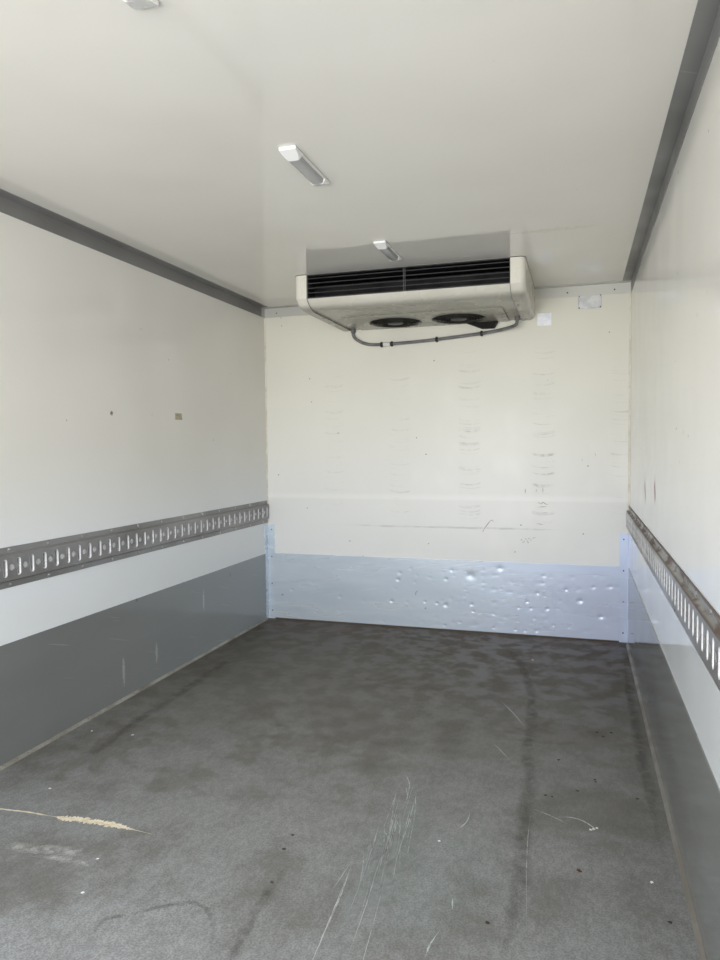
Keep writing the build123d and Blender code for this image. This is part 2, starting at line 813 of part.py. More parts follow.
# Condensing unit
def cond_dome(low, high, inset, finish):
    """Box with its front, upper and side edges finished round or chamfered, shrunk by a wall."""
    half = cond_width / 2 - inset
    top = high - inset
    body = block((-half, half), (front_wall - inset, front_face - inset), (low - inset, top))
    edges = [edge for edge in body.faces().sort_by(Axis.Y)[-1].edges()
             if edge.center().Z > low + same_place]
    edges += edges_along(body, Axis.Y, lambda p: abs(p.X) + p.Z, half + top)
    return finish(edges, cond_round - 2 * inset)


def make_condenser():
    """Nose-mounted unit: hollow cover, intake, coil, base on two legs and two fans."""
    high = z_top - cond_below_top
    low = high - cond_height
    half = cond_width / 2
    face = front_face
    cover = cond_dome(low, high, 0, fillet) - cond_dome(low, high, cond_sheet, chamfer)
    fan_z = low + cond_fan_level
    opening = polygon(cond_fan_radius + fan_opening_play, opening_sides)
    vent_y = front_wall + vent_off_wall
    for side in (-1, 1):
        cover -= back_from(Pos(side * cond_fan_across, fan_z) * opening, face, 2 * cond_sheet)
        for step in range(vent_count):
            level = low + vent_pitch * (step + 1)
            cover -= block((side * (half - 2 * cond_sheet), side * half),
                           (vent_y - vent_length / 2, vent_y + vent_length / 2), (level, level + vent_height))
    intake = (low + intake_low, low + intake_low + intake_height)
    cover -= block((-intake_width / 2, intake_width / 2), (face - 2 * cond_sheet, face), intake)
    save("cond_cover", cover)
    grille = louvre_panel(intake_width, intake_height, grille_depth / 2, intake_louvres,
                          grille_louvre_sheet, 0)
    save("cond_grille", Pos(0, face, intake[0]) * grille)
    coil_y = front_wall + cond_coil_off_wall
    save("cond_coil", block((-half + cond_round, half - cond_round), (coil_y, coil_y + cond_coil_depth),
                            (low, high - cond_round)))

    sheet = cond_base_sheet
    base = block((-half, half), (front_wall, face), (low - sheet, low))
    under = low - sheet
    foot = under - cond_leg
    gusset = outline((front_wall, under), (face - cond_round, under), (front_wall + 2 * sheet, foot),
                     (front_wall, foot))
    for place in (-half / 2, half / 2):
        base += across(gusset, place - sheet / 2, place + sheet / 2)
        base += block((place - cond_leg_width / 2, place + cond_leg_width / 2),
                      (front_wall, front_wall + sheet), (foot, under))
    save("cond_base", base)

    guard, rotor = fan_parts(cond_fan_radius)
    seat = Pos(cond_fan_across, face, fan_z) * Rot(-90, 0, 0)
    save("cond_fan_guards", both_sides(seat * guard))
    save("cond_fan_right", seat * rotor)
    save("cond_fan_left", other_side(seat * rotor))


# Subframe
def console_places():
    """Places along Y of the consoles that bolt to the chassis."""
    return spread(-console_inset, y_back + console_inset, console_count)


def make_subframe():
    """Channel runners with bolted consoles, and the cross bearers between runners and floor."""
    inner, outer = runner_middle - runner_width / 2, runner_middle + runner_width / 2
    sheet = runner_sheet
    channel = outline((inner, 0), (outer, 0), (outer, runner_height), (inner, runner_height),
                      (inner, runner_height - sheet), (outer - sheet, runner_height - sheet),
                      (outer - sheet, sheet), (inner, sheet))
    runner = back_from(channel, 0, inner_length)
    foot = (console_drop, console_drop + console_sheet)
    for place in console_places():
        span = (place - console_length / 2, place + console_length / 2)
        console = block((outer, outer + console_sheet), span, (console_drop, console_drop + console_height))
        console += block((outer, outer + console_foot), span, foot)
        for side in (-1, 1):
            console -= Pos(console_hole_x(), place + side * bolt_spacing / 2, foot[0]) * Cylinder(
                bolt_radius, 4 * console_sheet)
        runner += console
    save("runners", both_sides(runner))

    height, width, sheet = bearer_height, bearer_width, bearer_sheet
    section = outline((0, 0), (width, 0), (width, sheet), (sheet, sheet), (sheet, height - sheet),
                      (width, height - sheet), (width, height), (0, height))
    bearer = across(section, -x_in + sill_rail_sheet, x_in - sill_rail_sheet)
    places = spread(-bearer_inset - width, y_back + bearer_inset, bearer_count)
    save("cross_bearers", [Pos(0, place, z_bearer) * bearer for place in places])


def console_hole_x():
    """Distance of the console holes from the middle of the body."""
    return runner_middle + runner_width / 2 + console_sheet + (console_foot - console_sheet) / 2


# Marker lamps
def make_markers():
    """Amber lamps on the sill rails, red ones on the rear posts, white ones on the nose."""
    length, proud, tall = marker_size
    middle = z_panel - sill_rail_sheet + sill_rail_height / 2
    wall = x_out + sill_rail_sheet
    sides = []
    for place in spread(-side_marker_front, y_back + side_marker_rear, side_marker_count):
        lamp = block((wall, wall + proud), (place - length / 2, place + length / 2),
                     (middle - tall / 2, middle + tall / 2))
        lamp = chamfer(lamp.faces().sort_by(Axis.X)[-1].edges(), marker_bevel)
        sides += both_sides(lamp)
    save("side_markers", sides)

    width, proud, tall = end_marker_size
    low = z_pocket_high + (z_top - z_pocket_high - tall) / 2
    right = x_out - marker_inset
    rear = block((right - width, right), (y_rear - proud, y_rear), (low, low + tall))
    save("rear_markers", both_sides(chamfer(rear.faces().sort_by(Axis.Y)[0].edges(), marker_bevel)))
    right = x_in - lap_width - marker_inset
    low = z_ceiling - lap_width - marker_inset - tall
    nose = block((right - width, right), (front_wall, front_wall + proud), (low, low + tall))
    save("front_markers", both_sides(chamfer(nose.faces().sort_by(Axis.Y)[-1].edges(), marker_bevel)))


os.makedirs("parts", exist_ok=True)
make_shell()
make_corner_profiles()
make_rear_frame()
make_frame_fittings()
make_doors()
make_trim()
make_load_rails()
make_lamps()
make_evaporator()
make_hose_and_pipes()
make_condenser()
make_subframe()
make_markers()
print("pins at", pin_x, round(pin_y + y_shift, 3), "shift", y_shift)
print("console rows at", [round(place + y_shift, 3) for place in console_places()], "x", console_hole_x())
print("hose bends", [round(radius) for radius in hose_bends(hose_route())])
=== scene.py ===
# %% [markdown]
# # The inside of a refrigerated box body
#
# The object is an insulated truck body, seen from its open rear doorway: glossy white
# panels, grey scuff plates, two pierced load rails, and a cooling unit under the ceiling.
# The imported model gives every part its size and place. This file gives the parts their
# looks, and adds what is too fine for a solid: screws, dents, wires, stains and scratches.
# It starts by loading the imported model, which is never moved.

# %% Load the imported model
import math

import bpy
import numpy as np
from mathutils import Matrix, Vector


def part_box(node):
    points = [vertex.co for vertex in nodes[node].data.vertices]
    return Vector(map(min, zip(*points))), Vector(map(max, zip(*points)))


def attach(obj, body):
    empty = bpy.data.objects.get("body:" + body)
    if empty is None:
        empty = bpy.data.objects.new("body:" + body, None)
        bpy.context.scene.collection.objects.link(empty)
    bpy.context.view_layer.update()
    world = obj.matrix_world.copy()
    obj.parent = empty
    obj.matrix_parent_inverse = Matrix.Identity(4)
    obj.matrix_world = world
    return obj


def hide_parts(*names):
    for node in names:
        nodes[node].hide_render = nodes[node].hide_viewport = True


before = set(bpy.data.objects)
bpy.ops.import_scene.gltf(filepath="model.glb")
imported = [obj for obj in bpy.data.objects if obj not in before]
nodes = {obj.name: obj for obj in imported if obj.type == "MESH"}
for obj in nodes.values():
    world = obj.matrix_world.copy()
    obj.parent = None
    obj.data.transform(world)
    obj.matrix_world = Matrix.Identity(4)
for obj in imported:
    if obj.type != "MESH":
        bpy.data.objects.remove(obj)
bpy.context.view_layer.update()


# %% [markdown]
# ## Places that many pieces share
#
# A fitting sits on what carries it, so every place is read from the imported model: the inner
# faces of the walls, the ceiling and the floor. X goes across the body, Y forward to the
# nose and Z up. The doorway is at the low end of Y.

# %% Read the places
def corners(node):
    """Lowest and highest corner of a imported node, as an array of two rows."""
    return np.array([list(corner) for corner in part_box(node)])


x_wall = corners("wall_right")[0, 0]
y_wall = corners("front_wall")[0, 1]
y_door = corners("wall_right")[0, 1]
z_floor = corners("floor_deck")[1, 2]
z_ceiling = corners("roof_panel")[0, 2]
inside = np.round([2 * x_wall, y_wall - y_door, z_ceiling - z_floor], 3)
print("inside", *inside, "m")


# %% [markdown]
# ## The camera
#
# The photograph was taken by hand from just inside the doorway, right of the middle. Its
# straight edges give the lens and the three turns. A camera looks along its own -Z, so the
# columns of its matrix are its right, its up and the way back to the photographer.

# %% Place the camera
camera_at = (0.780, -1.928, 1.340)
focal_pixels, photo_height = 703.17, 960
turn_left, tilt, roll = math.radians(17.268), math.radians(-2.739), math.radians(0.54)

camera = bpy.data.cameras.new("camera")
camera.sensor_width = 36.0
camera.lens = focal_pixels / photo_height * camera.sensor_width
camera.clip_start = 0.01
camera_object = bpy.data.objects.new("camera", camera)
bpy.context.scene.collection.objects.link(camera_object)
facing = Matrix.Rotation(turn_left, 3, "Z") @ Matrix.Rotation(tilt, 3, "X") @ Matrix.Rotation(roll, 3, "Y")
right, ahead, up = facing.col
columns = Matrix((right, up, -ahead)).transposed().to_4x4()
camera_object.matrix_world = Matrix.Translation(camera_at) @ columns
bpy.context.scene.camera = camera_object
print("lens", round(camera.lens, 2), "mm")


# %% [markdown]
# ## Shapes as arrays
#
# A shape here is a pair: its points, and its faces as arrays of point numbers, one array
# for each count of corners. Whole arrays are joined, mirrored and repeated at once, so a
# few lines make hundreds of screws.

# %% Helpers that build shapes
def join(*shapes):
    """One shape from several: each one's face numbers move up by the points before it."""
    points, faces, before = [], [], 0
    for some_points, some_faces in shapes:
        points.append(some_points)
        faces += [block + before for block in some_faces]
        before += len(some_points)
    return np.concatenate(points), faces


def flipped(shape):
    """The same shape with its faces turned round, so that inside and outside change places."""
    points, faces = shape
    return points, [block[:, ::-1] for block in faces]


def mirrored(shape):
    """The shape on the other side of x = 0, with its faces turned to point outwards again."""
    points, faces = shape
    return flipped((points * (-1, 1, 1), faces))


def both_sides(shape):
    """The shape and its mirror image."""
    return join(shape, mirrored(shape))


def moved(shape, by):
    """The shape shifted by a vector."""
    return shape[0] + np.asarray(by), shape[1]


def repeated(shape, places):
    """A copy at each place: the places are added to the points by broadcasting."""
    points, faces = shape
    places = np.asarray(places, float)
    steps = (np.arange(len(places)) * len(points))[:, None, None]
    copies = (places[:, None, :] + points[None]).reshape(-1, 3)
    return copies, [(block[None] + steps).reshape(-1, block.shape[1]) for block in faces]


print("shapes can be joined, mirrored, moved and repeated")


# %% [markdown]
# Surfaces start from rows of points. `grid` lays quads between neighbouring rows, and can
# close the last row on the first one to make a tube. A loft is such a tube with both ends
# closed. Bars have six faces, and a profile turned round an axis gives heads and domes.

# %% Helpers that make surfaces
def grid(points, wrap_rows=False, wrap_columns=False):
    """Quads over an array of rows and columns of points; wrapping closes it into a tube."""
    rows, columns = points.shape[:2]
    number = np.arange(rows * columns).reshape(rows, columns)
    if wrap_rows:
        number = np.concatenate([number, number[:1]])
    if wrap_columns:
        number = np.concatenate([number, number[:, :1]], axis=1)
    quads = np.stack([number[:-1, :-1], number[:-1, 1:], number[1:, 1:], number[1:, :-1]], axis=-1)
    return points.reshape(-1, points.shape[2]), [quads.reshape(-1, 4)]


def loft(rings):
    """Closed tube through rings of points, with a flat face over each end ring."""
    count, sides = rings.shape[:2]
    points, faces = grid(rings, wrap_columns=True)
    first = np.arange(sides)[None, ::-1]
    last = first[:, ::-1] + (count - 1) * sides
    return points, faces + [np.concatenate([first, last])]


def bars(low, high):
    """A straight bar with six faces between each low corner and its high corner."""
    low, high = np.atleast_2d(low).astype(float), np.atleast_2d(high).astype(float)
    pick = np.array([(i, j, k) for k in (0, 1) for j in (0, 1) for i in (0, 1)])
    points = np.where(pick[None] == 1, high[:, None], low[:, None])
    quads = np.array([(0, 2, 3, 1), (4, 5, 7, 6), (0, 1, 5, 4), (2, 6, 7, 3), (0, 4, 6, 2), (1, 3, 7, 5)])
    steps = (np.arange(len(low)) * 8)[:, None, None]
    return points.reshape(-1, 3), [(quads[None] + steps).reshape(-1, 4)]


def beams(*ranges):
    """Bars given by three ranges each: from where to where along X, Y and Z."""
    low, high = np.moveaxis(np.array(ranges, float), -1, 0)
    return bars(low, high)


AXIS_ORDER = {"X": (2, 0, 1), "Y": (1, 2, 0), "Z": (0, 1, 2)}


def turned_profile(profile, sides, axis, at=(0, 0, 0)):
    """Profile of (radius, height) carried once round an axis, closed at both ends."""
    angle = np.linspace(0, 2 * np.pi, sides, endpoint=False)
    radius, height = np.asarray(profile, float).T
    round_one = radius[:, None] * np.cos(angle)
    round_two = radius[:, None] * np.sin(angle)
    along = np.broadcast_to(height[:, None], round_one.shape)
    rings = np.stack([round_one, round_two, along], axis=-1)
    return moved(loft(rings[..., AXIS_ORDER[axis]]), at)


print("a bar has", len(bars((0, 0, 0), (1, 1, 1))[0]), "points")


# %% [markdown]
# Sheets with holes are made of patches. A patch is a ring of quads between a hole's edge
# and the edge of the rectangle that it sits in, with the hole's wall behind it. Patches in
# a row make a pierced rail without any cutting.

# %% Helpers for holes and screws
def box_loop(half_width, half_height, across_steps, up_steps):
    """Points once round a rectangle, anticlockwise from its lower right corner."""
    up = np.linspace(-1, 1, up_steps + 1)[:-1]
    along = np.linspace(-1, 1, across_steps + 1)[:-1]
    right = np.stack([np.ones_like(up), up], axis=-1)
    top = np.stack([-along, np.ones_like(along)], axis=-1)
    loop = np.concatenate([right, top, -right, -top])
    return loop * (half_width, half_height)


def slot_loop(radius, straight, end_steps, side_steps):
    """Points once round an upright slot: a half circle over and under two straight sides."""
    up = np.linspace(-straight, straight, side_steps + 1)[:-1]
    turn = np.linspace(0, np.pi, end_steps + 1)[:-1]
    side = np.stack([np.full_like(up, radius), up], axis=-1)
    end = np.stack([radius * np.cos(turn), straight + radius * np.sin(turn)], axis=-1)
    return np.concatenate([side, end, -side, -end])


def circle_loop(radius, steps):
    """Points once round a circle, starting at its lower right, in four equal parts."""
    turn = np.linspace(-np.pi / 4, 7 * np.pi / 4, 4 * steps, endpoint=False)
    return radius * np.stack([np.cos(turn), np.sin(turn)], axis=-1)


def pierced_patch(outer, inner, front, back, rim=0.0):
    """Rectangle with a hole, lying in Y and Z: face, rounded rim, hole wall and back."""
    def layer(loop, x):
        return np.concatenate([np.full((len(loop), 1), x), loop], axis=1)
    wider = inner * (1 + rim / np.abs(inner).max())
    step = math.copysign(rim * 0.6, back - front)
    rings = np.stack([layer(outer, front), layer(wider, front), layer(inner, front + step),
                      layer(inner, back), layer(outer, back)])
    patch = grid(rings, wrap_columns=True)
    return patch if back < front else flipped(patch)


def screw_heads(centres, outward, radius=0.006, height=0.0025, sides=12):
    """Domed heads on a face whose outward side is an axis and a sign: four rings and a flat top."""
    axis, sign = outward
    share = np.array([(1.0, -0.2), (1.0, 0.35), (0.72, 0.8), (0.30, 1.0)])
    head = turned_profile(share * (radius, height * sign), sides, axis)
    return repeated(head if sign > 0 else flipped(head), centres)


print("a screw head has", len(screw_heads([(0, 0, 0)], ("X", 1))[0]), "points")


# %% [markdown]
# A finished shape becomes one object at the origin, with its place in its points. Edges
# sharper than a limit stay crisp and the rest is shaded smooth. The object then rides on a
# body of the imported model, takes its material and, if it stands for a imported node,
# hides that node.

# %% Helper that adds a piece
def add_piece(name, shape, material, body="box_body", instead_of=(), crease=35, soft=None):
    """Put a shape into a mesh object and tie it to the frame; soft is one fading value a point."""
    points, faces = shape
    mesh = bpy.data.meshes.new(name)
    mesh.vertices.add(len(points))
    mesh.vertices.foreach_set("co", np.ascontiguousarray(points, np.float32).ravel())
    sizes = np.concatenate([np.full(len(block), block.shape[1]) for block in faces])
    mesh.loops.add(int(sizes.sum()))
    around = np.concatenate([block.ravel() for block in faces])
    mesh.loops.foreach_set("vertex_index", around.astype(np.int32))
    mesh.polygons.add(len(sizes))
    mesh.polygons.foreach_set("loop_start", (np.cumsum(sizes) - sizes).astype(np.int32))
    mesh.polygons.foreach_set("use_smooth", np.ones(len(sizes), bool))
    mesh.update(calc_edges=True)
    mesh.validate()
    mesh.set_sharp_from_angle(angle=math.radians(crease))
    if soft is not None:
        values = mesh.attributes.new("soft", "FLOAT", "POINT").data
        values.foreach_set("value", np.asarray(soft, np.float32))
    mesh.materials.append(material)
    piece = bpy.data.objects.new(name, mesh)
    bpy.context.scene.collection.objects.link(piece)
    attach(piece, body)
    if instead_of:
        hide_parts(*instead_of)
    print(name, len(sizes), "faces")
    return piece


print("pieces can be added to the frame")


# %% [markdown]
# ## Finishes
#
# Every finish is worked out from noise and the object's own coordinates, in metres, so a
# stain lies at a place on the body and has a real size. Small helpers keep the node trees
# short: they fill a socket, add a node, or do arithmetic on numbers or vectors.

# %% Helpers for shader nodes
def fill(tree, socket, value):
    """Give a socket a plain value, or link another node's output to it."""
    if isinstance(value, bpy.types.NodeSocket):
        tree.links.new(value, socket)
    else:
        socket.default_value = value


def add_node(tree, kind, settings=(), **inputs):
    """Add a node, change its settings, and give each named input a value or a link."""
    node = tree.nodes.new(kind)
    for name, value in dict(settings).items():
        setattr(node, name, value)
    for name, value in inputs.items():
        fill(tree, node.inputs[name.replace("_", " ")], value)
    return node


def maths(tree, operation, first, second=0.0, clamp=False):
    """Result of one arithmetic operation on two numbers."""
    node = add_node(tree, "ShaderNodeMath", {"operation": operation, "use_clamp": clamp})
    fill(tree, node.inputs[0], first)
    fill(tree, node.inputs[1], second)
    return node.outputs[0]


def times(tree, product, *factors):
    """Product of several numbers or masks, multiplied from left to right."""
    for factor in factors:
        product = maths(tree, "MULTIPLY", product, factor)
    return product


def vector_maths(tree, operation, *vectors):
    """Outputs of one operation on one or two vectors."""
    node = add_node(tree, "ShaderNodeVectorMath", {"operation": operation})
    for socket, vector in zip(node.inputs, vectors):
        fill(tree, socket, vector)
    return node.outputs


print("node helpers ready")


# %% [markdown]
# A pattern takes a few steps: stretch the coordinates, take a noise, pass it through a
# smooth step, and use the result as a mask between two colours. Colours are given as a
# picture shows them and turned into linear light, which is what shaders work in.

# %% Helpers for patterns and colours
def stretched(tree, vector, scale):
    """Coordinates multiplied axis by axis, which stretches a pattern."""
    return vector_maths(tree, "MULTIPLY", vector, scale)[0]


def axes(tree, vector):
    """The X, Y and Z of a vector, by name."""
    return add_node(tree, "ShaderNodeSeparateXYZ", Vector=vector).outputs


def noise_at(tree, vector, scale, detail, **more):
    """Noise between 0 and 1: scale is its waves a metre, detail how many finer ones are added."""
    return add_node(tree, "ShaderNodeTexNoise", Vector=vector, Scale=scale, Detail=detail, **more).outputs[0]


def blended(tree, mask, first, second):
    """Colour that goes from the first to the second as the mask goes from 0 to 1."""
    node = add_node(tree, "ShaderNodeMix", {"data_type": "RGBA"})
    fill(tree, node.inputs[0], mask)
    for socket, colour in ((node.inputs[6], first), (node.inputs[7], second)):
        fill(tree, socket, colour if isinstance(colour, bpy.types.NodeSocket) else (*colour, 1.0))
    return node.outputs[2]


def gate(tree, value, low, high, out_low=0.0, out_high=1.0):
    """Smooth step, 3 t^2 - 2 t^3 between: out_low where the value is low, out_high where high."""
    node = add_node(tree, "ShaderNodeMapRange", {"interpolation_type": "SMOOTHSTEP"}, Value=value,
                    From_Min=low, From_Max=high, To_Min=out_low, To_Max=out_high)
    return node.outputs[0]


def srgb(red, green, blue):
    """Linear colour from the 0 to 255 values that a picture shows."""
    value = np.array([red, green, blue]) / 255
    linear = np.where(value <= 0.04045, value / 12.92, ((value + 0.055) / 1.055) ** 2.4)
    return tuple(float(part) for part in linear)


print("mid grey is", [round(part, 3) for part in srgb(128, 128, 128)])


# %% [markdown]
# Effects that several finishes use are node groups. *Cloud* is soft blotches, *streaks*
# draws long thin marks in one direction, *specks* scatters dots, and *spot* is one soft
# patch at a place. All of them cut a noise at a level: what lies above the level is the
# mark. A group gives out only a mask, and each material decides what the mask does.

# %% Build the shared node groups
def make_group(name, inputs, draw):
    """Group of that name: its inputs with their usual values, and the mask that draw makes."""
    tree = bpy.data.node_groups.new(name, "ShaderNodeTree")
    for label, value in {"Vector": (0.0, 0.0, 0.0), **inputs}.items():
        kind = "NodeSocketVector" if isinstance(value, tuple) else "NodeSocketFloat"
        tree.interface.new_socket(label, in_out="INPUT", socket_type=kind).default_value = value
    tree.interface.new_socket("Mask", in_out="OUTPUT", socket_type="NodeSocketFloat")
    mask = draw(tree, tree.nodes.new("NodeGroupInput").outputs)
    fill(tree, tree.nodes.new("NodeGroupOutput").inputs["Mask"], mask)
    return tree


def draw_cloud(tree, given):
    """Blotches: noise with finer noise on it, then a smooth step between two levels."""
    noise = noise_at(tree, given["Vector"], given["Scale"], 2.5, Roughness=0.6)
    return gate(tree, noise, given["Low"], given["High"])


def draw_specks(tree, given):
    """Dots: the few highest tops of a plain noise."""
    noise = noise_at(tree, given["Vector"], given["Scale"], 0.0)
    return gate(tree, noise, given["Level"], maths(tree, "ADD", given["Level"], 0.03))


def draw_streaks(tree, given):
    """Scratches: the tops of a noise that is turned, then squeezed across and drawn out along."""
    turned = add_node(tree, "ShaderNodeVectorRotate", {"rotation_type": "EULER_XYZ"},
                      Vector=given["Vector"], Rotation=given["Turn"]).outputs[0]
    noise = noise_at(tree, stretched(tree, turned, given["Density"]), 1.0, 0.0)
    return gate(tree, noise, given["Level"], maths(tree, "ADD", given["Level"], 0.04))


def draw_spot(tree, given):
    """One soft patch: 1 at its centre, 0 past its reach, with an edge roughened by noise."""
    away = vector_maths(tree, "SUBTRACT", given["Vector"], given["Centre"])[0]
    shares = vector_maths(tree, "DIVIDE", away, given["Reach"])[0]
    length = vector_maths(tree, "LENGTH", shares)["Value"]
    noise = noise_at(tree, given["Vector"], given["Grain"], 1.0)
    rough = times(tree, maths(tree, "SUBTRACT", noise, 0.5), given["Ragged"], 2.0)
    return gate(tree, maths(tree, "ADD", length, rough), 0.35, 1.0, 1.0, 0.0)


groups = {
    "cloud": make_group("cloud", {"Scale": 3.0, "Low": 0.4, "High": 0.7}, draw_cloud),
    "specks": make_group("specks", {"Scale": 30.0, "Level": 0.72}, draw_specks),
    "streaks": make_group("streaks", {"Turn": (0.0, 0.0, 0.0), "Density": (3.0, 90.0, 3.0), "Level": 0.70},
                          draw_streaks),
    "spot": make_group("spot", {"Centre": (0.0, 0.0, 0.0), "Reach": (1.0, 1.0, 1.0), "Ragged": 0.3,
                                "Grain": 20.0}, draw_spot)}


def effect(tree, name, vector, **inputs):
    """Place a shared group and give out its mask."""
    node = tree.nodes.new("ShaderNodeGroup")
    node.node_tree = groups[name]
    fill(tree, node.inputs["Vector"], vector)
    for label, value in inputs.items():
        fill(tree, node.inputs[label], value)
    return node.outputs["Mask"]


print("groups:", ", ".join(groups))


# %% [markdown]
# A material starts as a Principled shader with its plain values. Then its own function
# paints the base colour, lifts the roughness where it is worn, and adds a bump.

# %% Start a material
def start_material(name, metallic=0.0, roughness=0.4, **sockets):
    """New material: its tree, its shader and the object's coordinates."""
    material = bpy.data.materials.new(name)
    material.use_nodes = True
    tree = material.node_tree
    shader = tree.nodes["Principled BSDF"]
    for label, value in {"Metallic": metallic, "Roughness": roughness, **sockets}.items():
        shader.inputs[label.replace("_", " ")].default_value = value
    return material, tree, shader, tree.nodes.new("ShaderNodeTexCoord").outputs["Object"]


def tinted(tree, colour, mask, strength, tint):
    """The colour pulled towards a tint where the mask is, by no more than the strength."""
    return blended(tree, times(tree, mask, strength), colour, tint)


def connect(tree, shader, colour, shine, height, distance):
    """Give the shader colour, roughness and a bump; distance is the metres of a full step of height."""
    bump = add_node(tree, "ShaderNodeBump", Height=height, Distance=distance).outputs[0]
    for label, value in (("Base Color", colour), ("Roughness", shine), ("Normal", bump)):
        fill(tree, shader.inputs[label], value)


print("material helpers ready")


# %% [markdown]
# ### Glossy white panels
#
# The skins are gelcoat on glass fibre: smooth, glossy and a little wavy, so they mirror
# their surroundings in soft blotches. Years of use left faint grey clouds, fine scuffs and
# specks. The wavy mirror comes from a very low, wide bump. A wall is one solid from its
# inner skin to its outer one, so past a small depth the finish is the clean outside white.

# %% Make the panel finish
skin_from, skin_to = 0.020, 0.025


def gelcoat(name, clean, dull, wear, rough, extra=None, skin=None):
    """White panel; extra adds marks of its own; beyond the skin's place on its axis it is clean."""
    material, tree, shader, at = start_material(name)
    clouds = effect(tree, "cloud", at, Scale=1.1, Low=0.35, High=0.75)
    colour = blended(tree, clouds, srgb(*clean), srgb(*dull))
    dots = effect(tree, "specks", at, Scale=46.0, Level=0.92 - 0.06 * wear)
    colour = tinted(tree, colour, dots, 0.5, srgb(130, 122, 108))
    scuffs = effect(tree, "streaks", at, Turn=(0.5, 0.4, 0.2), Density=(4.0, 5.0, 150.0),
                    Level=0.88 - 0.06 * wear)
    colour = tinted(tree, colour, scuffs, 0.25 * wear, srgb(160, 160, 156))
    shine = gate(tree, clouds, 0.0, 1.0, *rough)
    if extra:
        colour, shine = extra(tree, at, colour, shine)
    if skin:
        axis, place = skin
        out = maths(tree, "ABSOLUTE", axes(tree, at)[axis])
        beyond = gate(tree, out, place + skin_from, place + skin_to)
        colour = blended(tree, beyond, colour, srgb(234, 235, 234))
    connect(tree, shader, colour, shine, noise_at(tree, at, 3.1, 1.0), 0.0022)
    return material


def painted_ground_light_below(tree, at, colour):
    """Painted light: a cooler tint on the lower part of the side walls stands for daylight reflected off the
    ground outside.
    """
    lower = gate(tree, axes(tree, at)["Z"], z_floor + 0.55, z_floor + 1.15, 1.0, 0.0)
    return tinted(tree, colour, lower, 0.9, srgb(238, 244, 250))


def marks_at(places, cool=False):
    """Extra marks: one soft spot for each row of centre, reach, tint and strength."""
    def paint(tree, at, colour, shine):
        # With cool, the painted ground light is added to the lower wall.
        colour = painted_ground_light_below(tree, at, colour) if cool else colour
        for centre, reach, tint, strength in places:
            mask = effect(tree, "spot", at, Centre=centre, Reach=reach, Ragged=0.9, Grain=60.0)
            colour = tinted(tree, colour, mask, strength, tint)
        return colour, shine
    return paint


panel_white, panel_dull = (232, 230, 224), (224, 222, 213)
plug = ((-x_wall, y_wall - 1.481, z_floor + 1.195), (0.05, 0.012, 0.012), srgb(92, 80, 66), 0.9)
stain = ((0.67, y_wall - 1.046, z_ceiling), (0.16, 0.03, 0.05), srgb(196, 190, 172), 0.35)
# Both side walls get the painted ground light below; the left one also gets a spot.
left_spot_and_painted_light, right_painted_ground_light, roof_marks = marks_at([plug], True), marks_at([], True), marks_at([stain])
print("one spot on the left wall, one on the ceiling")


# %% [markdown]
# Crates rubbed the front wall in columns, where their corners touch it on every stop. Across
# the wall, the place of the nearest column is found by rounding x over the column pitch. Up
# the wall, a noise of the height makes short level dashes. The height is lowered by the
# square of the distance from the column's middle, so every dash sags a little. A painted
# reflection of the sky tints the wall cooler below, so it stays warmer towards the top. Pale
# clouds at the right are painted, uneven glare, and a pale level band crosses at about three
# quarters of a metre over the floor.

# %% Chafe marks of the front wall
chafe_pitch, chafe_half, chafe_sag = 0.40, 0.070, 2.6
chafe_low, chafe_high = z_floor + 0.60, z_floor + 1.64


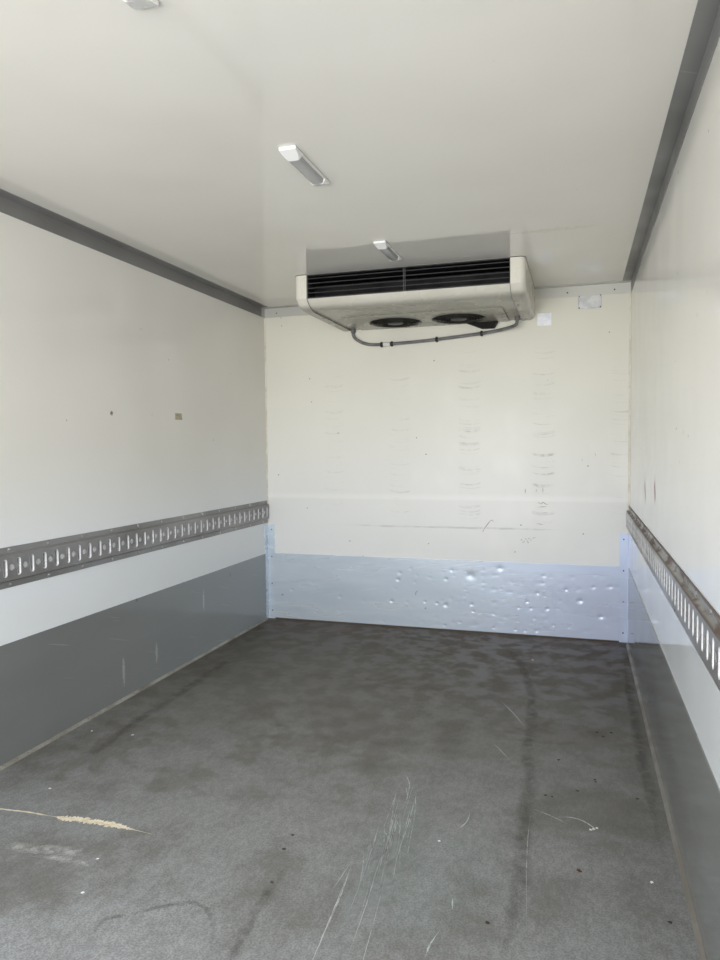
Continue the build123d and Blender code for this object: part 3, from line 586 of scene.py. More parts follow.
def chafe_and_painted_light(tree, at, colour, shine):
    """Grey dashes in columns, painted glare at the right, and a painted sky reflection that makes the wall
    cooler below.
    """
    parts = axes(tree, at)
    # Painted reflection: the lower wall is tinted cooler, where the glossy wall mirrors the sky.
    painted_sky_below = gate(tree, parts["Z"], z_floor + 0.35, z_floor + 1.75, 1.0, 0.0)
    colour = tinted(tree, colour, painted_sky_below, 0.85, srgb(219, 222, 225))
    count = maths(tree, "DIVIDE", maths(tree, "ADD", parts["X"], chafe_pitch / 2), chafe_pitch)
    column = maths(tree, "ROUND", count)
    off = times(tree, maths(tree, "SUBTRACT", count, column), chafe_pitch)
    level = maths(tree, "SUBTRACT", parts["Z"], times(tree, off, off, chafe_sag))
    place = add_node(tree, "ShaderNodeCombineXYZ", X=times(tree, column, 3.7), Y=times(tree, off, 2.2),
                     Z=times(tree, level, 62.0)).outputs[0]
    dashes = gate(tree, noise_at(tree, place, 1.0, 2.0), 0.54, 0.70)
    breaks = effect(tree, "cloud", at, Scale=34.0, Low=0.30, High=0.62)
    inside = gate(tree, maths(tree, "ABSOLUTE", off), 0.6 * chafe_half, chafe_half, 1.0, 0.0)
    window = times(tree, gate(tree, parts["Z"], chafe_low, chafe_low + 0.12),
                   gate(tree, parts["Z"], chafe_high - 0.3, chafe_high, 1.0, 0.0))
    harder = times(tree, gate(tree, parts["X"], -0.95, 0.15, 0.04, 0.9),
                   gate(tree, parts["X"], 0.75, 0.9, 1.0, 0.55))
    rubbed = times(tree, inside, window, harder)
    dash = times(tree, dashes, breaks, rubbed)
    colour = tinted(tree, colour, rubbed, 0.10, srgb(214, 213, 208))
    colour = tinted(tree, colour, dash, 0.56, srgb(138, 137, 134))
    # Painted glare: pale clouds on the right part of the wall.
    glare = effect(tree, "cloud", stretched(tree, at, (1.0, 1.0, 0.7)), Scale=3.4, Low=0.50, High=0.78)
    glared = times(tree, gate(tree, parts["X"], -0.5, 0.2),
                   gate(tree, parts["Z"], z_floor + 1.3, z_floor + 1.75, 1.0, 0.0))
    colour = tinted(tree, colour, times(tree, glare, glared), 0.25, srgb(246, 244, 240))
    band = times(tree, gate(tree, parts["Z"], z_floor + 0.735, z_floor + 0.750),
                 gate(tree, parts["Z"], z_floor + 0.755, z_floor + 0.785, 1.0, 0.0))
    colour = tinted(tree, colour, band, 0.22, srgb(246, 248, 248))
    return colour, maths(tree, "ADD", shine, times(tree, dash, 0.25), clamp=True)


print("a chafe column every", chafe_pitch, "m")


# %% [markdown]
# Each side of the body gets a panel finish of its own, because each has other marks and the
# ceiling is shinier. A dictionary keeps the finishes by name, and `dress` puts one of them
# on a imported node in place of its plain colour.

# %% Dress the panels
finish = {
    "side_left": gelcoat("panel_left", panel_white, panel_dull, 0.3, (0.08, 0.18), left_spot_and_painted_light,
                         ("X", x_wall)),
    "side_right": gelcoat("panel_right", panel_white, panel_dull, 0.5, (0.08, 0.18), right_painted_ground_light,
                          ("X", x_wall)),
    "front": gelcoat("panel_front", (224, 222, 208), (217, 215, 202), 0.3, (0.12, 0.24), chafe_and_painted_light,
                     ("Y", y_wall)),
    "ceiling": gelcoat("panel_ceiling", (230, 228, 221), (225, 222, 213), 0.1, (0.04, 0.08),
                       roof_marks, ("Z", z_ceiling)),
    "outside": gelcoat("panel_outside", (236, 237, 236), (230, 231, 229), 0.3, (0.10, 0.22))}
panels = {"wall_left": "side_left", "wall_right": "side_right", "front_wall": "front",
          "roof_panel": "ceiling", "door_leaf_left": "outside", "door_leaf_right": "outside"}


def dress(node, kind):
    """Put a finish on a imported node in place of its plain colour."""
    nodes[node].data.materials.clear()
    nodes[node].data.materials.append(finish[kind])


for node, kind in panels.items():
    dress(node, kind)
print(len(finish), "panel finishes")


# %% [markdown]
# ### Metals, plastics and rubbers
#
# Most other finishes differ only in a few numbers: the clean colour, the worn colour, how
# metallic and how rough they are, and the size and direction of their wear. One function
# makes them all, so a row of a table describes a finish.

# %% One function for plain finishes
def worn(name, clean, dull, metallic=0.0, rough=(0.35, 0.55), scale=4.0, stretch=(1.0, 1.0, 1.0),
         specks=0.78, scores=0.76, grain=0.0001, extra=None):
    """Finish with blotches, specks, fine scores and a grain; rough is its range of roughness."""
    clean, dull = srgb(*clean), srgb(*dull)
    material, tree, shader, at = start_material(name, metallic)
    along = stretched(tree, at, stretch)
    clouds = effect(tree, "cloud", along, Scale=scale, Low=0.35, High=0.7)
    colour = blended(tree, clouds, clean, dull)
    dots = effect(tree, "specks", at, Scale=14 * scale, Level=specks)
    colour = tinted(tree, colour, dots, 0.55, tuple(0.35 * part for part in dull))
    lines = effect(tree, "streaks", at, Turn=(0.3, 0.2, 0.15), Level=scores,
                   Density=(2 * scale, 2 * scale, 60 * scale))
    colour = tinted(tree, colour, lines, 0.35, tuple(min(1.6 * part, 0.9) for part in clean))
    shine = gate(tree, clouds, 0.0, 1.0, *rough)
    if extra:
        colour, shine = extra(tree, at, colour, shine)
    connect(tree, shader, colour, shine, noise_at(tree, along, 20 * scale, 1.0), grain)
    return material


print("one function makes every plain finish")


# %% [markdown]
# Some finishes have marks of their own: rust on a rail, painted light on a cove that is paler
# in front, painted shade under the cooling unit, and a painted sky reflection that makes a
# bright plate bluer towards one end. Each is a small function that takes the colour and the
# roughness so far and gives both back with its marks. Heights are measured from the imported
# parts, so the marks stay on their parts.

# %% Wear and painted light that belong to one finish
rail_top, z_under = corners("load_rails")[1, 2], corners("evap_cover")[0, 2]


def rusty_ledge(tree, at, colour, shine):
    """Rust on the upper ledge of the right rail: two dark edges and patches between them."""
    parts = axes(tree, at)

    def below_top(start, end, *outputs):
        """Smooth step between two heights, measured down from the rail's top."""
        return gate(tree, parts["Z"], rail_top - start, rail_top - end, *outputs)
    ledge = times(tree, below_top(0.032, 0.026), gate(tree, parts["X"], 0.0, 0.1))
    patches = effect(tree, "cloud", stretched(tree, at, (1.0, 1.0, 4.0)), Scale=9.0, Low=0.42, High=0.62)
    edges = maths(tree, "ADD", below_top(0.008, 0.003), below_top(0.026, 0.022, 1.0, 0.0), clamp=True)
    mask = times(tree, ledge, maths(tree, "MAXIMUM", patches, times(tree, edges, 0.85)))
    colour = tinted(tree, colour, mask, 0.8, srgb(106, 84, 72))
    return colour, maths(tree, "ADD", shine, times(tree, mask, 0.3), clamp=True)


def paler_in_front(tree, at, colour, shine):
    """Painted light: the cove on the front wall, which faces the doorway, is tinted a paler grey; the coves
    also darken a little to the left.
    """
    parts = axes(tree, at)
    front = gate(tree, parts["Y"], y_wall - 0.05, y_wall - 0.04)
    colour = tinted(tree, colour, front, 1.0, srgb(206, 205, 198))
    return tinted(tree, colour, gate(tree, parts["X"], -0.2, -0.8), 0.3, srgb(120, 118, 118)), shine


def painted_shade_below(tree, at, colour, shine):
    """Painted shade: the flat underside is tinted greyer, for the shade under the unit."""
    flat = gate(tree, axes(tree, at)["Z"], z_under + 0.004, z_under + 0.028, 1.0, 0.0)
    return tinted(tree, colour, flat, 0.85, srgb(138, 135, 123)), shine


def painted_sky_reflection_right(tree, at, colour, shine):
    """Painted reflection: the bright plate is tinted bluer, like the blue sky it mirrors, more and more
    towards its right end.
    """
    right = gate(tree, axes(tree, at)["X"], -0.2, 1.0)
    return tinted(tree, colour, right, 0.8, srgb(214, 226, 255)), shine


def dirty_bead(tree, at, colour, shine):
    """The bead has browned on the right side, and most of all along the front wall."""
    parts = axes(tree, at)
    colour = tinted(tree, colour, gate(tree, parts["X"], 0.5, 1.0), 0.8, srgb(112, 108, 101))
    front = gate(tree, parts["Y"], y_wall - 0.06, y_wall - 0.03)
    return tinted(tree, colour, front, 0.9, srgb(66, 56, 46)), shine


def smears_and_painted_reflection(tree, at, colour, shine):
    """Three pale upright smears on the left side plate, and a painted sky reflection that makes it paler and
    bluer towards the front.
    """
    for y, z, height in ((-1.453, 0.12, 0.075), (-1.212, 0.13, 0.055), (-0.789, 0.275, 0.075)):
        mask = effect(tree, "spot", at, Centre=(-x_wall, y_wall + y, z_floor + z),
                      Reach=(0.05, 0.012, height), Ragged=0.5, Grain=90.0)
        colour = tinted(tree, colour, mask, 0.55, srgb(188, 192, 194))
    parts = axes(tree, at)
    # Painted reflection: the plate is tinted paler and bluer towards the front, most on the left.
    forward = gate(tree, parts["Y"], y_wall - 2.0, y_wall - 0.1)
    paler = times(tree, forward, gate(tree, parts["X"], -0.5, 0.5, 0.42, 0.0))
    return tinted(tree, colour, paler, 1.0, srgb(196, 206, 214)), shine


print("rail top at", round(rail_top, 3), "m, underside of the unit at", round(z_under, 3), "m")


# %% [markdown]
# This table is the whole range of plain finishes, with the names that the pieces use later.
# A row gives the clean and the worn colour, how metallic the finish is, its range of
# roughness and how fine its wear is. Metal is given a metallic share below 1, because zinc
# and aluminium go dull with use.

# %% Make the finishes
finish |= {
    "profile": worn("aluminium_profile", (212, 214, 216), (192, 194, 196), 0.6, (0.28, 0.45), 3.0),
    "steel": worn("frame_steel", (202, 204, 206), (180, 182, 183), 0.5, (0.3, 0.5), 3.0),
    "hinge": worn("hinge_steel", (204, 204, 204), (176, 176, 174), 0.8, (0.28, 0.45), 9.0),
    "rubber": worn("buffer_rubber", (36, 36, 36), (54, 53, 51), 0.0, (0.6, 0.8), 9.0),
    "cove": worn("cove_grey", (128, 128, 127), (114, 114, 112), 0.0, (0.3, 0.45), 2.5,
                 specks=0.86, extra=paler_in_front),
    "scuff": worn("scuff_grey", (128, 131, 131), (117, 120, 120), 0.0, (0.08, 0.15), 1.6,
                  (1.0, 0.3, 1.4), specks=0.84, scores=0.78, grain=0.00002, extra=smears_and_painted_reflection),
    "bright": worn("scuff_bright", (223, 235, 247), (206, 220, 234), 0.45, (0.24, 0.34), 2.2,
                   (0.5, 1.0, 4.0), specks=0.86, extra=painted_sky_reflection_right),
    "sealant": worn("sealant", (152, 152, 147), (118, 115, 106), 0.0, (0.45, 0.65), 9.0, specks=0.70,
                    grain=0.0004, extra=dirty_bead),
    "rail": worn("rail_zinc", (152, 152, 152), (134, 134, 133), 0.35, (0.28, 0.42), 6.0,
                 (1.0, 0.4, 1.0), specks=0.80, scores=0.74, extra=rusty_ledge),
    # Slot lips and hole spacers: the rail's zinc painted much paler, as a painted highlight.
    "lip": worn("slot_zinc_painted_highlight", (236, 237, 240), (222, 222, 226), 0.35, (0.25, 0.35), 20.0),
    "screw": worn("screw_zinc", (222, 222, 224), (176, 176, 176), 0.8, (0.2, 0.35), 30.0),
    "dark_screw": worn("screw_dark", (92, 91, 88), (64, 63, 60), 0.3, (0.35, 0.5), 30.0),
    "lamp": worn("lamp_white", (240, 241, 240), (232, 232, 229), 0.0, (0.25, 0.4), 7.0, specks=0.9),
    "lens": worn("lamp_lens", (172, 172, 172), (158, 158, 158), 0.0, (0.15, 0.25), 7.0, specks=0.9),
    "evaporator": worn("evap_white", (220, 218, 206), (212, 209, 196), 0.0, (0.22, 0.34), 5.0,
                       specks=0.84, scores=0.86, extra=painted_shade_below),
    "grille": worn("grille_black", (58, 58, 60), (72, 72, 73), 0.0, (0.3, 0.5), 14.0),
    # The coils are painted near black, as painted shade behind the grilles.
    "coil": worn("coil_fins", (26, 26, 26), (17, 17, 17), 0.1, (0.5, 0.65), 10.0),
    "guard": worn("guard_black", (26, 26, 26), (44, 43, 41), 0.2, (0.4, 0.6), 16.0),
    "fan": worn("fan_black", (24, 24, 25), (38, 37, 36), 0.0, (0.35, 0.55), 9.0),
    "motor": worn("motor_grey", (58, 58, 57), (40, 40, 39), 0.2, (0.4, 0.6), 14.0),
    "hose": worn("hose_grey", (120, 119, 120), (96, 95, 95), 0.0, (0.3, 0.5), 16.0, (1.0, 1.0, 3.0)),
    "clip": worn("clip_black", (34, 34, 34), (56, 54, 52), 0.0, (0.35, 0.5), 20.0),
    "coupling": worn("coupling_white", (230, 230, 226), (210, 208, 200), 0.0, (0.3, 0.45), 20.0),
    "foam": worn("foam_black", (22, 22, 22), (34, 33, 32), 0.0, (0.6, 0.85), 22.0, grain=0.0012),
    "dark_frame": worn("frame_black", (44, 45, 47), (60, 60, 61), 0.1, (0.35, 0.55), 6.0),
    "seal": worn("seal_rubber", (34, 34, 34), (52, 51, 50), 0.0, (0.5, 0.7), 9.0),
    "under": worn("grp_under", (168, 169, 167), (146, 146, 141), 0.0, (0.45, 0.65), 3.0),
    "amber": worn("lens_amber", (238, 148, 34), (220, 126, 20), 0.0, (0.12, 0.22), 20.0),
    "red": worn("lens_red", (190, 26, 24), (160, 18, 18), 0.0, (0.12, 0.22), 20.0),
    "clear": worn("lens_clear", (214, 217, 218), (196, 199, 200), 0.0, (0.10, 0.2), 20.0)}
print(len(finish), "finishes so far")


# %% [markdown]
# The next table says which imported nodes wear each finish. Parts of one material share a
# finish, so one row of the first table changes all of them.

# %% Dress the nodes
wearers = {
    "profile": "roof_rails nose_rail front_posts sill_rails",
    "steel": "rear_posts rear_header rear_sill",
    "hinge": "hinge_brackets lock_keepers door_fittings_left door_fittings_right",
    "rubber": "dock_buffers",
    "seal": "door_seal_left door_seal_right",
    "cove": "ceiling_coves",
    "scuff": "side_scuffs",
    "bright": "front_scuff corner_guards",
    "sealant": "floor_beads",
    "rail": "load_rails",
    "lamp": "lamp_bases",
    "lens": "lamp_lenses",
    "evaporator": "evap_cover evap_ends",
    "grille": "evap_grille cond_grille",
    "coil": "evap_coil cond_coil",
    "guard": "evap_fan_guards cond_fan_guards",
    "fan": "evap_fan_left evap_fan_right cond_fan_left cond_fan_right",
    "hose": "drain_hose",
    "clip": "hose_clips",
    "foam": "insulated_pipes",
    "dark_frame": "cond_cover cond_base",
    "under": "runners cross_bearers floor_panel",
    "amber": "side_markers",
    "red": "rear_markers",
    "clear": "front_markers"}
dressed = {node: kind for kind, names in wearers.items() for node in names.split()}
for node, kind in dressed.items():
    dress(node, kind)
print(len(dressed), "nodes dressed")


# %% [markdown]
# ### The floor
#
# The floor is grey resin with sand in it for grip, so one fine noise gives both its bump and
# its grain of dark dots. It is darker and browner towards the front wall. Brown stains lie
# at places that a short table names: x, then y from the front wall, then how far each
# reaches across and along. Scratched resin shows paler at one spot on the right.

# %% Floor finish
floor_stains = [(-0.305, -1.734, 0.07, 0.16), (0.124, -1.673, 0.06, 0.12), (-0.435, -2.022, 0.12, 0.14),
                (0.036, -0.968, 0.24, 0.14), (-0.432, -1.406, 0.12, 0.16), (-0.168, -1.63, 0.16, 0.12),
                (-0.794, -1.80, 0.16, 0.30), (0.75, -1.33, 0.26, 0.12)]


def floor_finish():
    """Grey resin: mottled and grainy, with brown stains near the front wall and at known places."""
    material, tree, shader, at = start_material("floor_resin", Specular_IOR_Level=0.22)
    parts = axes(tree, at)
    broad = effect(tree, "cloud", at, Scale=1.3, Low=0.34, High=0.68)
    colour = blended(tree, broad, srgb(168, 172, 176), srgb(157, 161, 164))
    far = gate(tree, parts["Y"], y_wall - 3.4, y_wall - 0.1)
    colour = tinted(tree, colour, far, 0.95, srgb(84, 78, 65))
    mottle = effect(tree, "cloud", at, Scale=10.0, Low=0.34, High=0.66)
    colour = tinted(tree, colour, mottle, 0.12, srgb(104, 103, 98))
    dirt = gate(tree, noise_at(tree, at, 2.6, 7.0, Roughness=0.68), 0.47, 0.66)
    colour = tinted(tree, colour, dirt, 0.42, srgb(92, 86, 77))
    edge = gate(tree, parts["Y"], y_wall - 0.75, y_wall - 0.02)
    rust = effect(tree, "cloud", stretched(tree, at, (1.0, 1.6, 1.0)), Scale=5.0, Low=0.36, High=0.60)
    colour = tinted(tree, colour, times(tree, rust, edge), 0.8, srgb(92, 72, 56))
    for x, y, wide, long in floor_stains:
        spot = effect(tree, "spot", at, Centre=(x, y_wall + y, z_floor), Reach=(wide, long, 1.0),
                      Ragged=1.3, Grain=14.0)
        colour = tinted(tree, colour, spot, 0.38, srgb(90, 82, 70))
    worn_pale = effect(tree, "spot", at, Centre=(0.42, y_wall - 2.30, z_floor), Reach=(0.22, 0.30, 1.0),
                       Ragged=0.8, Grain=9.0)
    colour = tinted(tree, colour, worn_pale, 0.22, srgb(148, 162, 162))
    grain = noise_at(tree, at, 210.0, 1.0)
    colour = tinted(tree, colour, gate(tree, grain, 0.38, 0.58, 1.0, 0.0), 0.36, srgb(88, 88, 86))
    brush = noise_at(tree, stretched(tree, at, (1.0, 0.55, 1.0)), 62.0, 2.0, Roughness=0.7)
    colour = tinted(tree, colour, gate(tree, brush, 0.38, 0.62), 0.26, srgb(94, 94, 90))
    connect(tree, shader, colour, gate(tree, mottle, 0.0, 1.0, 0.42, 0.60), grain, 0.0004)
    return material


finish["floor"] = floor_finish()
dress("floor_deck", "floor")
print(len(floor_stains), "stains on the floor")


# %% [markdown]
# ## Light
#
# Daylight comes in through the open doorway behind the photographer. A wide lamp outside it
# gives most of the light and isn't mirrored. A small one, nearer to the doorway, is mirrored
# by the glossy panels and makes the glare. Both are kept off the ground and off the parts
# that stand outside the doorway, which they would burn out: a collection of those objects is
# linked to the lamp and left out of its light. One lamp above and one before the nose light
# the outside.

# %% Lamps
def soft_lamp(name, at, turn, size, power):
    """Rectangular lamp, hidden from the camera so that it never shows as a white sheet."""
    lamp = bpy.data.lights.new(name, "AREA")
    lamp.shape, lamp.size, lamp.size_y, lamp.energy = "RECTANGLE", size[0], size[1], power
    piece = bpy.data.objects.new(name, lamp)
    bpy.context.scene.collection.objects.link(piece)
    piece.location, piece.rotation_euler = at, [math.radians(part) for part in turn]
    piece.visible_camera = False
    return piece


def light_inside_only(lamp, outside):
    """Keep a lamp off the ground and off the parts that stand outside the doorway."""
    left_out = bpy.data.collections.new(lamp.name + "_leaves_out")
    for piece in outside:
        left_out.objects.link(piece)
    for entry in left_out.collection_objects:
        entry.light_linking.link_state = "EXCLUDE"
    lamp.light_linking.receiver_collection = left_out


z_middle = (z_floor + z_ceiling) / 2
doorway = soft_lamp("doorway_light", (0, y_door - 1.8, z_middle), (90, 0, 0), (3.2, 2.6), 234)
doorway.visible_glossy = False
glare = soft_lamp("doorway_glare", (-0.2, y_door - 0.5, z_middle), (90, 0, 0), (1.6, 1.8), 14)
soft_lamp("sky_light", (0, 0, 6.0), (0, 0, 0), (6, 8), 85)
soft_lamp("nose_light", (2.5, 6.5, 3.5), (-62, 0, -20), (4, 4), 120)
print("lamps:", len(bpy.data.lights))


# %% [markdown]
# The world round the body is white. What the camera sees directly or in a mirror is a
# little brighter than the light it sheds, which keeps the backdrop clean. The ground is a
# plain pale sheet; its back can be seen through, so that the body also shows from below.

# %% World and ground
world = bpy.data.worlds.new("room")
bpy.context.scene.world = world
world.use_nodes = True
world_tree = world.node_tree
backdrop = world_tree.nodes["Background"]
backdrop.inputs["Color"].default_value = (1, 1, 1, 1)
rays = world_tree.nodes.new("ShaderNodeLightPath").outputs
seen = maths(world_tree, "ADD", rays["Is Camera Ray"], rays["Is Glossy Ray"])
seen = maths(world_tree, "ADD", seen, rays["Is Transmission Ray"], clamp=True)
light_shed, light_seen = 0.72, 1.0
fill(world_tree, backdrop.inputs["Strength"], gate(world_tree, seen, 0.0, 1.0, light_shed, light_seen))

ground_finish, tree, shader, at = start_material("ground")
connect(tree, shader, (*srgb(222, 222, 222), 1), 0.8, noise_at(tree, at, 3.0, 2.0), 0.002)
seen_from_below = add_node(tree, "ShaderNodeNewGeometry").outputs["Backfacing"]
fill(tree, shader.inputs["Alpha"], maths(tree, "SUBTRACT", 1.0, seen_from_below))
ground_half = 14
ground = bpy.data.objects.new("ground", bpy.data.meshes.new("ground"))
ground_corners = [(x * ground_half, y * ground_half, 0) for x, y in ((-1, -1), (1, -1), (1, 1), (-1, 1))]
ground.data.from_pydata(ground_corners, [], [(0, 1, 2, 3)])
ground.data.materials.append(ground_finish)
bpy.context.scene.collection.objects.link(ground)
outside_names = ("rear_", "door_", "dock_", "hinge_", "lock_", "roof_rails")
outside = [nodes[node] for node in nodes if node.startswith(outside_names)]
for lamp in (doorway, glare):
    light_inside_only(lamp, [ground, *outside])
bpy.context.scene.view_settings.view_transform = "Standard"
print(len(outside), "parts outside the doorway are left out of its light")


# %% [markdown]
# ## The load rails
#
# A load rail is a strip of zinc-plated steel, pressed to a hat section and pierced with
# upright slots for strap fittings, with round holes between them. It could be cut from a
# plate with booleans, but those leave long thin faces that shade badly. Here the rail is
# built from bars and tubes, so first come more helpers: a bar from its outline, a soft path,
# a tube along a path and a closed hoop.

# %% More helpers for bars and tubes
def extruded(outline, axis, start, end):
    """Bar along an axis; the outline gives the two other coordinates, as Y Z, Z X or X Y."""
    one, two = np.asarray(outline, float).T
    turning = np.sum(one * np.roll(two, -1) - np.roll(one, -1) * two)
    low, high = min(start, end), max(start, end)
    ends = (low, high) if turning > 0 else (high, low)
    rings = np.stack([np.stack([one, two, np.full_like(one, place)], -1) for place in ends])
    return loft(rings[..., AXIS_ORDER[axis]])


def smooth_path(points, steps):
    """Quadratic B-spline: from middle to middle of the straight pieces, bent towards each corner."""
    points = np.asarray(points, float)
    middles = (points[1:] + points[:-1]) / 2
    share = np.linspace(0, 1, steps, endpoint=False)[None, :, None]
    start, corner, end = middles[:-1, None], points[1:-1, None], middles[1:, None]
    bends = (1 - share) ** 2 * start + 2 * share * (1 - share) * corner + share ** 2 * end
    return np.concatenate([points[:1], bends.reshape(-1, points.shape[1]), middles[-1:], points[-1:]])


def tube(path, radius, sides=12, lean=(1, 1, 1)):
    """Round tube: every ring stands square to the path, measured from one leaning direction."""
    path = np.asarray(path, float)
    radius = np.broadcast_to(np.asarray(radius, float), (len(path),))
    ahead = np.gradient(path, axis=0)
    ahead /= np.linalg.norm(ahead, axis=1, keepdims=True)
    side = np.cross(ahead, np.broadcast_to(np.asarray(lean, float), ahead.shape))
    side /= np.linalg.norm(side, axis=1, keepdims=True)
    over = np.cross(ahead, side)
    angle = np.linspace(0, 2 * np.pi, sides, endpoint=False)[None, :, None]
    around = np.cos(angle) * side[:, None] + np.sin(angle) * over[:, None]
    return loft(path[:, None] + radius[:, None, None] * around)


def hoop(ring_radius, wire_radius, at, axis="Z", sides=48, wire_sides=8):
    """Closed round wire: a circle of small circles."""
    turn = np.linspace(0, 2 * np.pi, sides, endpoint=False)[:, None]
    round_wire = np.linspace(0, 2 * np.pi, wire_sides, endpoint=False)[None]
    out = ring_radius + wire_radius * np.cos(round_wire)
    points = np.stack([out * np.cos(turn), out * np.sin(turn),
                       np.broadcast_to(wire_radius * np.sin(round_wire), (sides, wire_sides))], -1)
    shape = grid(points[:, ::-1][..., AXIS_ORDER[axis]], wrap_rows=True, wrap_columns=True)
    return moved(flipped(shape), at)


print("a hoop has", len(hoop(1, 0.1, (0, 0, 0))[0]), "points")


# %% [markdown]
# The web is laid out in cells along the rail: one cell holds a slot, the next a hole, and a
# cell is a ring of quads from the hole's edge to the cell's border. The cells are counted
# from the front end of the rail.

# %% Lay out the web of the load rail
rail_low, rail_high = corners("load_rails")
pitch, rail_sheet, flange_wide, slope_high, web_out = 0.060, 0.0025, 0.020, 0.006, 0.0135
cells = int(round((rail_high[1] - rail_low[1]) / pitch))
web_front = x_wall - web_out
web_back = web_front + rail_sheet
rail_middle = (rail_low[2] + rail_high[2]) / 2
web_half = (rail_high[2] - rail_low[2]) / 2 - flange_wide - slope_high

slot_in, slot_rim, slot_straight, hole_radius, lip_deep = 0.0062, 0.0030, 0.021, 0.011, 0.0085
slot_cell_half, hole_cell_half = 0.013, 0.017
slot_cell = pierced_patch(box_loop(slot_cell_half, web_half, 6, 4),
                          slot_loop(slot_in + slot_rim, slot_straight, 6, 4), web_front, web_back, 0.0004)
hole_cell = pierced_patch(box_loop(hole_cell_half, web_half, 4, 4), circle_loop(hole_radius, 4),
                          web_front, web_back, 0.0007)
slot_y = rail_high[1] - pitch * (np.arange(cells) + 0.5)
slot_at = [(0, y, rail_middle) for y in slot_y]
hole_at = [(0, y, rail_middle) for y in rail_high[1] - pitch * np.arange(1, cells)]
web = join(repeated(slot_cell, slot_at), repeated(hole_cell, hole_at))
print(cells, "slots a side")


# %% [markdown]
# The press folds a lip inwards round each slot. Its far side faces the doorway, and the lip
# wears a much paler zinc than the rail as a painted highlight, while the gap behind stays
# black. The lip is a tube of six rows, closed on itself: each row is the slot's outline at
# the radius and depth that a table gives.

# %% Fold the lips of the slots
lip_rows = ((slot_in + slot_rim, web_front - 0.0002), (slot_in + 0.4 * slot_rim, web_front + 0.0008),
            (slot_in, web_front + 0.0024), (slot_in, web_front + lip_deep),
            (slot_in + 0.0012, web_front + lip_deep), (slot_in + slot_rim, web_back - 0.0002))
lip_rings = np.stack([np.insert(slot_loop(radius, slot_straight, 6, 4), 0, x, axis=1)
                      for radius, x in lip_rows])
slot_lips = repeated(flipped(grid(lip_rings, wrap_rows=True, wrap_columns=True)), slot_at)
print("the lips of one rail have", len(slot_lips[0]), "points")


# %% [markdown]
# Above and below the web the sheet slopes back and lies on the wall as a flange. Slope and
# flange are one bar, drawn in section and carried along the rail. Short bars fill the web at
# both ends, a spacer sits behind each round hole, and screws hold the flanges. The spacers
# wear the same painted-highlight zinc as the lips, so the holes show pale.

# %% Build the load rails
flange_out = x_wall - rail_sheet
slope_end, flange_end = web_half + slope_high, web_half + slope_high + flange_wide
leg = np.array([(web_half, web_front), (slope_end, flange_out), (flange_end, flange_out),
                (flange_end, x_wall), (slope_end, x_wall), (web_half, web_back)])
legs = [extruded(leg * (side, 1) + (rail_middle, 0), "Y", rail_low[1], rail_high[1]) for side in (1, -1)]
web_deep, web_high = (web_front, web_back), (rail_middle - web_half, rail_middle + web_half)
ends = beams((web_deep, (rail_low[1], slot_y[-1] - slot_cell_half), web_high),
             (web_deep, (slot_y[0] + slot_cell_half, rail_high[1]), web_high))
rail_screw_y = np.arange(rail_high[1] - 0.06, rail_low[1], -3 * pitch)
rail_screws = [(flange_out, y, rail_middle + side * (slope_end + flange_wide / 2))
               for side in (1, -1) for y in rail_screw_y]
spacer = turned_profile([(0.0135, web_back + 0.0012), (0.0135, x_wall - 0.0002)], 16, "X")

add_piece("rail_webs", both_sides(join(web, *legs, ends)), finish["rail"],
          instead_of=("load_rails",), crease=30)
add_piece("rail_slot_lips", both_sides(slot_lips), finish["lip"],
          instead_of=("load_rails",), crease=40)
add_piece("rail_spacers", both_sides(repeated(spacer, hole_at)), finish["lip"])
rail_heads = both_sides(screw_heads(rail_screws, ("X", -1), 0.0062, 0.0026))
add_piece("rail_screws", rail_heads, finish["screw"])


# %% [markdown]
# ## Dented scuff plates
#
# The front scuff plate takes every pallet that slides in, so it is full of small dents.
# A dent is a bell curve pushed into the plate: depth times exp(-(distance / width) ** 2).
# All dents are added up over a fine grid at once, which no modelling by hand would do as
# evenly. A flat back and a rim then close the grid to a thin plate.

# %% Helpers for dented plates
def dents(along, up, places, widths, depths):
    """Sum of bell curves at the places, over a grid of points."""
    across = (along[..., None] - places[:, 0]) / widths
    rise = (up[..., None] - places[:, 1]) / (0.8 * widths)
    return (depths * np.exp(-across ** 2 - rise ** 2)).sum(axis=-1)


def closed_plate(front, behind):
    """Thin plate from its front points and the flat back: the two grids share a rim of quads."""
    rows, columns = front.shape[:2]
    number = np.arange(rows * columns).reshape(rows, columns)
    rim = np.concatenate([number[0], number[1:, -1], number[-1, -2::-1], number[-2:0:-1, 0]])
    points, faces = grid(front)
    back_points, back_faces = grid(behind)
    offset = len(points)
    walls = np.stack([rim, rim + offset, np.roll(rim, -1) + offset, np.roll(rim, -1)], -1)
    return np.concatenate([points, back_points]), faces + [back_faces[0][:, ::-1] + offset, walls]


print("dents and closed plates ready")


# %% [markdown]
# The table gives the deep dents: x and height over the floor in metres, then width and depth
# in millimetres. Light ones are thrown in by chance, more of them right of the middle, as in
# the photograph. The generator has a fixed seed, so every run makes the same plate.

